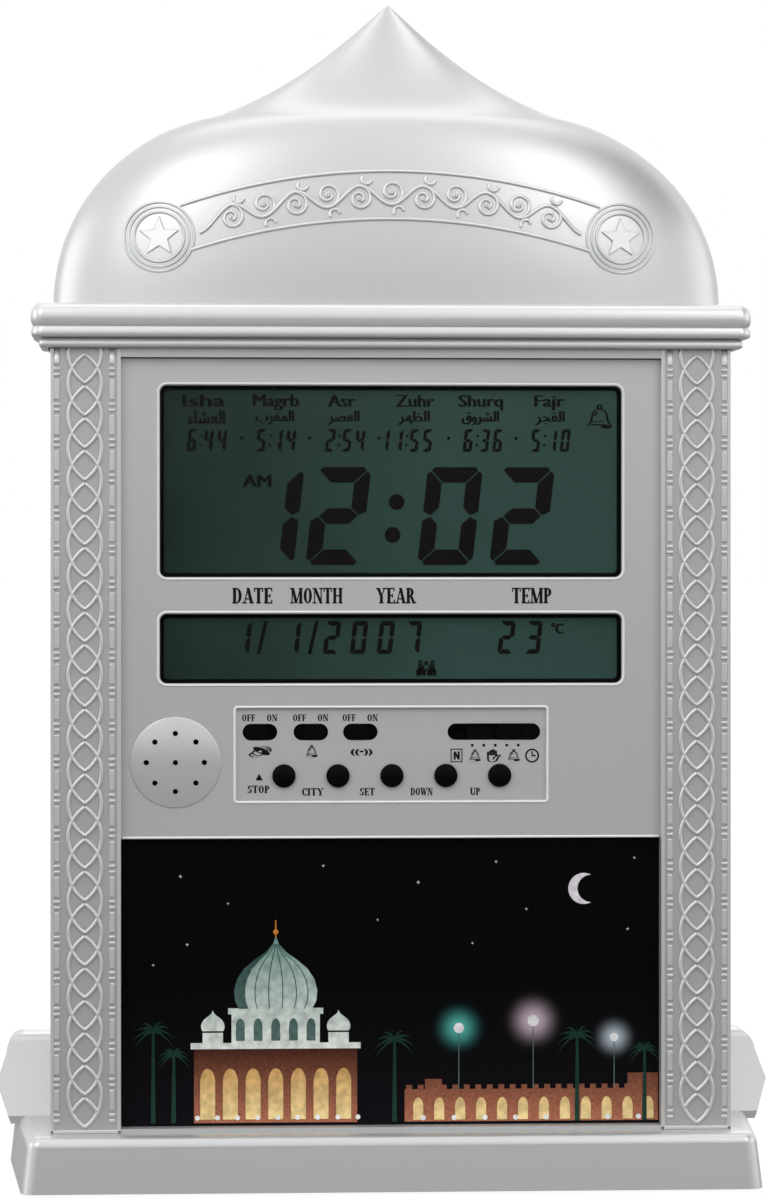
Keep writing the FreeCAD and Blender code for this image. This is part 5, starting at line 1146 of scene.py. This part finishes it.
# each lamp: its place, the reach of its halo and its colour
LAMPS = ((20.0, 47.0, 9.5, "#66d8cc"), (42.0, 49.0, 10.5, "#eed6e6"), (66.0, 44.0, 8.0, "#d8e6f2"))
sky, tree = new_material("printed_night_sky")
place = add(tree, "TexCoord").outputs["Object"]
up = add(tree, "SeparateXYZ", {0: place}).outputs["Z"]
haze = add(tree, "MapRange", {"Value": up, "From Min": HAZE_Z[0], "From Max": HAZE_Z[1],
                                        "To Min": 1.0, "To Max": 0.0})
tone = add(tree, "Mix", {0: haze.outputs[0], 6: linear("#060607"), 7: linear("#121015")},
           data_type="RGBA")
for x, z, reach, colour in LAMPS:
    away = add(tree, "VectorMath", {0: place, 1: (x * MM, CARD_FRONT, z * MM)}, operation="DISTANCE")
    halo = add(tree, "MapRange", {"Value": away.outputs["Value"], "From Min": 0.0,
                                            "From Max": reach * MM, "To Min": HALO_STRENGTH, "To Max": 0.0},
               interpolation_type="SMOOTHSTEP")
    soft = add(tree, "Math", {0: halo.outputs[0], 1: HALO_FALL}, operation="POWER")
    tone = add(tree, "Mix", {0: soft.outputs[0], 6: tone.outputs[2], 7: linear(colour)},
               data_type="RGBA")
shader = add(tree, "BsdfPrincipled", {"Base Color": tone.outputs[2], **GLOSS})
add(tree, "OutputMaterial", {"Surface": shader.outputs["BSDF"]})
dress(sky, "picture_card")


def both_sides(right):
    """An outline's right half, from its foot to its top, and the mirrored left half."""
    return right + [(-px, pz) for px, pz in right[-2::-1]]


def pointed_arch(x, z, width, height):
    """A doorway with upright sides and a pointed head."""
    head = 0.8 * width
    right = [(width / 2 - width * 0.5 * t ** 1.6, height - head + head * math.sin(t * math.pi / 2))
             for t in (0, 0.25, 0.5, 0.75, 1.0)]
    return shape_in_mm([(-width / 2, 0), (width / 2, 0)] + both_sides(right), x, z)


# the right half of a bulbous dome with a pointed top, in parts of its radius
ONION = [(0.9, 0), (1.0, 0.2), (1.02, 0.45), (0.95, 0.72), (0.78, 0.98), (0.52, 1.2), (0.26, 1.38),
         (0.08, 1.58), (0, 1.8)]


def onion(x, z, radius):
    """The outline of such a dome on a foot at a place, in millimetres."""
    return shape_in_mm([(px * radius, pz * radius) for px, pz in both_sides(ONION)], x, z)


def printed_layer(shapes, name, order, material):
    """One colour of the print, each laid over the one before."""
    printed(shapes, name, CARD_FRONT - order * PRINT_STEP, material, PRINT_THICK)


HALL_X = -34.0
GROUND_Z = 19.5
WALL_Z = 29.0
HALL_DOME_Z, HALL_DOME = 53.0, 12.0
TOWER_X, TOWER_DOME_Z, TOWER_DOME = 18.5, 46.5, 3.4
# the hall's lower storey, and a low wall with merlons
walls = [box(HALL_X - 24, GROUND_Z, HALL_X + 24, 42.0), box(4.0, GROUND_Z, 79.0, WALL_Z),
         box(10.0, WALL_Z, 15.0, 32.0), box(70.0, WALL_Z, 79.0, 33.5)]
walls += [box(4.5 + 3.4 * i, WALL_Z, 6.2 + 3.4 * i, 30.3) for i in range(22)]
printed_layer(walls, "print_walls", 0, print_ink("print_amber_wall", "#b8745a", "#43241c", 20, 42, 0.8))
# the hall's drum and dome, two small towers and two ledges
marble = [box(HALL_X - 13, 43.0, HALL_X + 13, 51.4), onion(HALL_X, HALL_DOME_Z, HALL_DOME),
          box(HALL_X - 21.5, 42, HALL_X - 15.5, 46), box(HALL_X + 15.5, 42, HALL_X + 21.5, 46),
          onion(HALL_X - TOWER_X, TOWER_DOME_Z, TOWER_DOME),
          onion(HALL_X + TOWER_X, TOWER_DOME_Z, TOWER_DOME),
          box(HALL_X - 25, 41.2, HALL_X + 25, 43.0), box(HALL_X - 14, 51.4, HALL_X + 14, 53.2)]
printed_layer(marble, "print_marble", 1, print_ink("print_lit_marble", "#f6fbf4", "#5f938a", 41, 76, 2.4))
# the windows of the drum, the dome's side away from the lamps, its ribs, and the thin lamp posts
SHADE_EDGE = 0.74
RIBS = (-0.5, -0.17, 0.17, 0.5, 0.78)
RIB_HALF, POST_HALF = 0.14, 0.12
shades = [pointed_arch(HALL_X - 10.4 + 5.2 * i, 43.6, 2.6, 6.6) for i in range(5)]
half = [(px * HALL_DOME, HALL_DOME_Z + pz * HALL_DOME) for px, pz in ONION]
shades.append(shape_in_mm([(-px, z) for px, z in half] + [(-SHADE_EDGE * px, z) for px, z in half[-2::-1]],
                          HALL_X))
for part in RIBS:
    rib = half[:-1]
    shades.append(shape_in_mm([(part * px + RIB_HALF, z) for px, z in rib]
                              + [(part * px - RIB_HALF, z) for px, z in rib[::-1]], HALL_X))
shades += [box(x - POST_HALF, WALL_Z, x + POST_HALF, z) for x, z, reach, colour in LAMPS]
printed_layer(shades, "print_shades", 2, print_ink("print_marble_shade", "#6b8580", "#31504b", 30, 76, 1.2))
# lit archways and the dome's finial
glows = [pointed_arch(HALL_X - 20 + 6.67 * i, 20.5, 4.4, 15.0) for i in range(7)]
glows += [pointed_arch(8.0 + 6.2 * i, 20.0, 3.0, 6.6) for i in range(12)]
glows += [disc(*in_mm(HALL_X, 75.6, 0.8), sides=10), box(HALL_X - 0.2, 74, HALL_X + 0.2, 79)]
printed_layer(glows, "print_glows", 3, print_ink("print_gold_light", "#ffe6a6", "#d48a38", 19, 44, 2.4))
# the street lamps, two rows of small lights, the crescent and the stars
lights = [disc(*in_mm(x, z, reach * 0.16)) for x, z, reach, colour in LAMPS]
lights += [disc(*in_mm(HALL_X - 23 + 5.9 * i, 21.0, 0.75), sides=10) for i in range(9)]
lights += [disc(*in_mm(9.5 + 9.1 * i, 20.6, 0.8), sides=10) for i in range(8)]
lights.append(arc(*in_mm(57.0, 88.0, 4.6), 62, 298, 24) + arc(*in_mm(59.2, 88.0, 4.06), 270, 90, 24))
for x, z, size in ((-62, 92, 0.4), (-48, 84, 0.3), (-20, 95, 0.35), (-4, 79, 0.3), (8, 90, 0.4),
                   (24, 72, 0.3), (31, 96, 0.35), (40, 82, 0.3), (70, 76, 0.35), (-70, 66, 0.3),
                   (-60, 72, 0.35), (72, 97, 0.3)):
    lights.append(shape_in_mm([(px * size, pz * size) for px, pz in (
        (0, 1.6), (0.3, 0.3), (1.6, 0), (0.3, -0.3), (0, -1.6), (-0.3, -0.3), (-1.6, 0), (-0.3, 0.3))], x, z))
printed_layer(lights, "print_lights", 4, print_ink("print_white_light", "#ffffff", "#f2ecf4", 20, 90, 3.0))
# each palm: a trunk and nine fronds that bend down to a point
TRUNK = ((-0.7, 0.7), (0.45, -0.35))
FRONDS = (10, 38, 66, 94, 122, 150, 178, -14, 200)
FROND_DROOP = 3.6
palms = []
for x, tall in ((-70.0, 27.0), (-64.0, 20.0), (1.0, 24.0), (55.0, 25.0), (75.0, 21.0)):
    top = 20.0 + tall
    reach = 6.2 if tall > 22 else 5.0
    palms.append(shape_in_mm([(px, GROUND_Z) for px in TRUNK[0]] + [(px, top) for px in TRUNK[1]], x))
    for turn in FRONDS:
        way = math.radians(turn)
        bow = [(x + reach * t * math.cos(way), top + reach * t * math.sin(way) - FROND_DROOP * t * t)
               for t in (0, 0.35, 0.7, 1.0)]
        upper = [(px, pz + 0.5 * (1 - i / 3)) for i, (px, pz) in enumerate(bow)]
        lower = [(px, pz - 0.7 * (1 - i / 3) - 0.05) for i, (px, pz) in enumerate(bow)]
        palms.append(shape_in_mm(upper + lower[::-1]))
printed_layer(palms, "print_palms", 5, print_ink("print_palm", "#27443a", "#16302a", 24, 60, 0.6))

# ---------------------------------------------------------------- floor, light and camera
# A pale floor, soft light from above, both sides and behind, and a level camera a little to the left.
# In reflections the floor is dimmer, as it would be under a clock that shades it.
deselect()
bpy.ops.mesh.primitive_plane_add(size=60.0, location=(0, 0, 0))
floor = bpy.context.object
floor.name = "floor"
MIRRORED_FLOOR = 0.3
floor_paint, tree = new_material("pale_floor")
card = add(tree, "BsdfDiffuse", {"Color": linear("#5a5a5a")})
path = add(tree, "LightPath")
mirrored = add(tree, "Math", {0: path.outputs["Is Glossy Ray"], 1: MIRRORED_FLOOR},
               operation="MULTIPLY")
seen = add(tree, "Math", {0: path.outputs["Is Camera Ray"], 1: mirrored.outputs[0]},
           operation="MAXIMUM")
glow = add(tree, "Emission", {"Color": (0.95, 0.95, 0.95, 1), "Strength": seen.outputs[0]})
both = add(tree, "AddShader", {0: card.outputs[0], 1: glow.outputs[0]})
add(tree, "OutputMaterial", {"Surface": both.outputs[0]})
floor.data.materials.append(floor_paint)
floor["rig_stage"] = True


def facing_clock(piece):
    """A lamp or card turns to the middle of the clock."""
    piece.rotation_mode = "QUATERNION"
    piece.rotation_quaternion = ((cad_low + cad_high) / 2 - piece.location).to_track_quat("-Z", "Y")


# two dark cards that the silver faces mirror and the camera doesn't see
card_paint = surface("dark_card", "#3a3a3b", 0.9)
for name, place, width, height in (("front_card", (0, -1.7, 0.13), 2.3, 0.26),
                                   ("right_card", (1.0, -0.45, 1.15), 0.8, 0.8)):
    deselect()
    bpy.ops.mesh.primitive_plane_add(size=1.0, location=place)
    piece = bpy.context.object
    piece.name = name
    facing_clock(piece)
    piece.scale = (width, height, 1)
    piece.visible_camera = False
    piece.data.materials.append(card_paint)
    piece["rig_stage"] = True

AMBIENT = 0.85
world = bpy.data.worlds.new("studio")
bpy.context.scene.world = world
world.use_nodes = True
tree = world.node_tree
tree.nodes.clear()
path = add(tree, "LightPath")
camera_or_gloss = add(tree, "Math", {0: path.outputs["Is Camera Ray"],
                                               1: path.outputs["Is Glossy Ray"]}, operation="MAXIMUM")
clear_rays = add(tree, "Math", {0: camera_or_gloss.outputs[0],
                                          1: path.outputs["Is Transmission Ray"]}, operation="MAXIMUM")
ambient = add(tree, "Background", {"Color": (1, 1, 1, 1), "Strength": AMBIENT})
white = add(tree, "Background", {"Color": (1, 1, 1, 1), "Strength": 1.0})
mix = add(tree, "MixShader", {0: clear_rays.outputs[0], 1: ambient.outputs[0], 2: white.outputs[0]})
add(tree, "OutputWorld", {"Surface": mix.outputs[0]})

# soft lamps that face the middle of the clock: place, width, height and watts
for name, place, width, height, watts in (
        ("left_softbox", (-0.72, -1.2, 1.1), 0.45, 0.9, 4.7),
        ("right_softbox", (0.72, -1.2, 1.1), 0.45, 0.9, 4.3),
        ("front_softbox", (0, -0.8, 1.55), 1.0, 0.4, 0.2),
        ("far_left_softbox", (-1.3, -0.15, 0.5), 0.8, 0.8, 3.0),
        ("back_softbox", (0.3, 1.5, 1.0), 1.2, 0.9, 5.0),
        ("far_right_softbox", (1.3, -0.15, 0.5), 0.8, 0.8, 2.0),
        ("top_softbox", (0, -0.1, 1.6), 1.2, 0.5, 2.2)):
    deselect()
    bpy.ops.object.light_add(type="AREA", location=place)
    lamp = bpy.context.object
    lamp.name = name
    lamp.data.shape = "RECTANGLE"
    lamp.data.size = width
    lamp.data.size_y = height
    lamp.data.energy = watts
    facing_clock(lamp)

# the camera stands this far in front of the foot, a little to the left, level
CAMERA_DISTANCE = 1.200
CAMERA_LEFT = 0.069
CAMERA_HEIGHT = 0.185
CAMERA_YAW = 3.145
CAMERA_LENS = 123.9
HORIZON_SHIFT = -40 / 1200
bpy.ops.object.camera_add(location=(-CAMERA_LEFT, cad_low.y - CAMERA_DISTANCE, CAMERA_HEIGHT),
                          rotation=(math.pi / 2, 0, -math.radians(CAMERA_YAW)))
camera = bpy.context.object
camera.data.sensor_width = 36.0
camera.data.lens = CAMERA_LENS
camera.data.shift_y = HORIZON_SHIFT
camera.data.clip_end = 100.0
bpy.context.scene.camera = camera
bpy.context.scene.view_settings.view_transform = "Standard"

low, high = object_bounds()
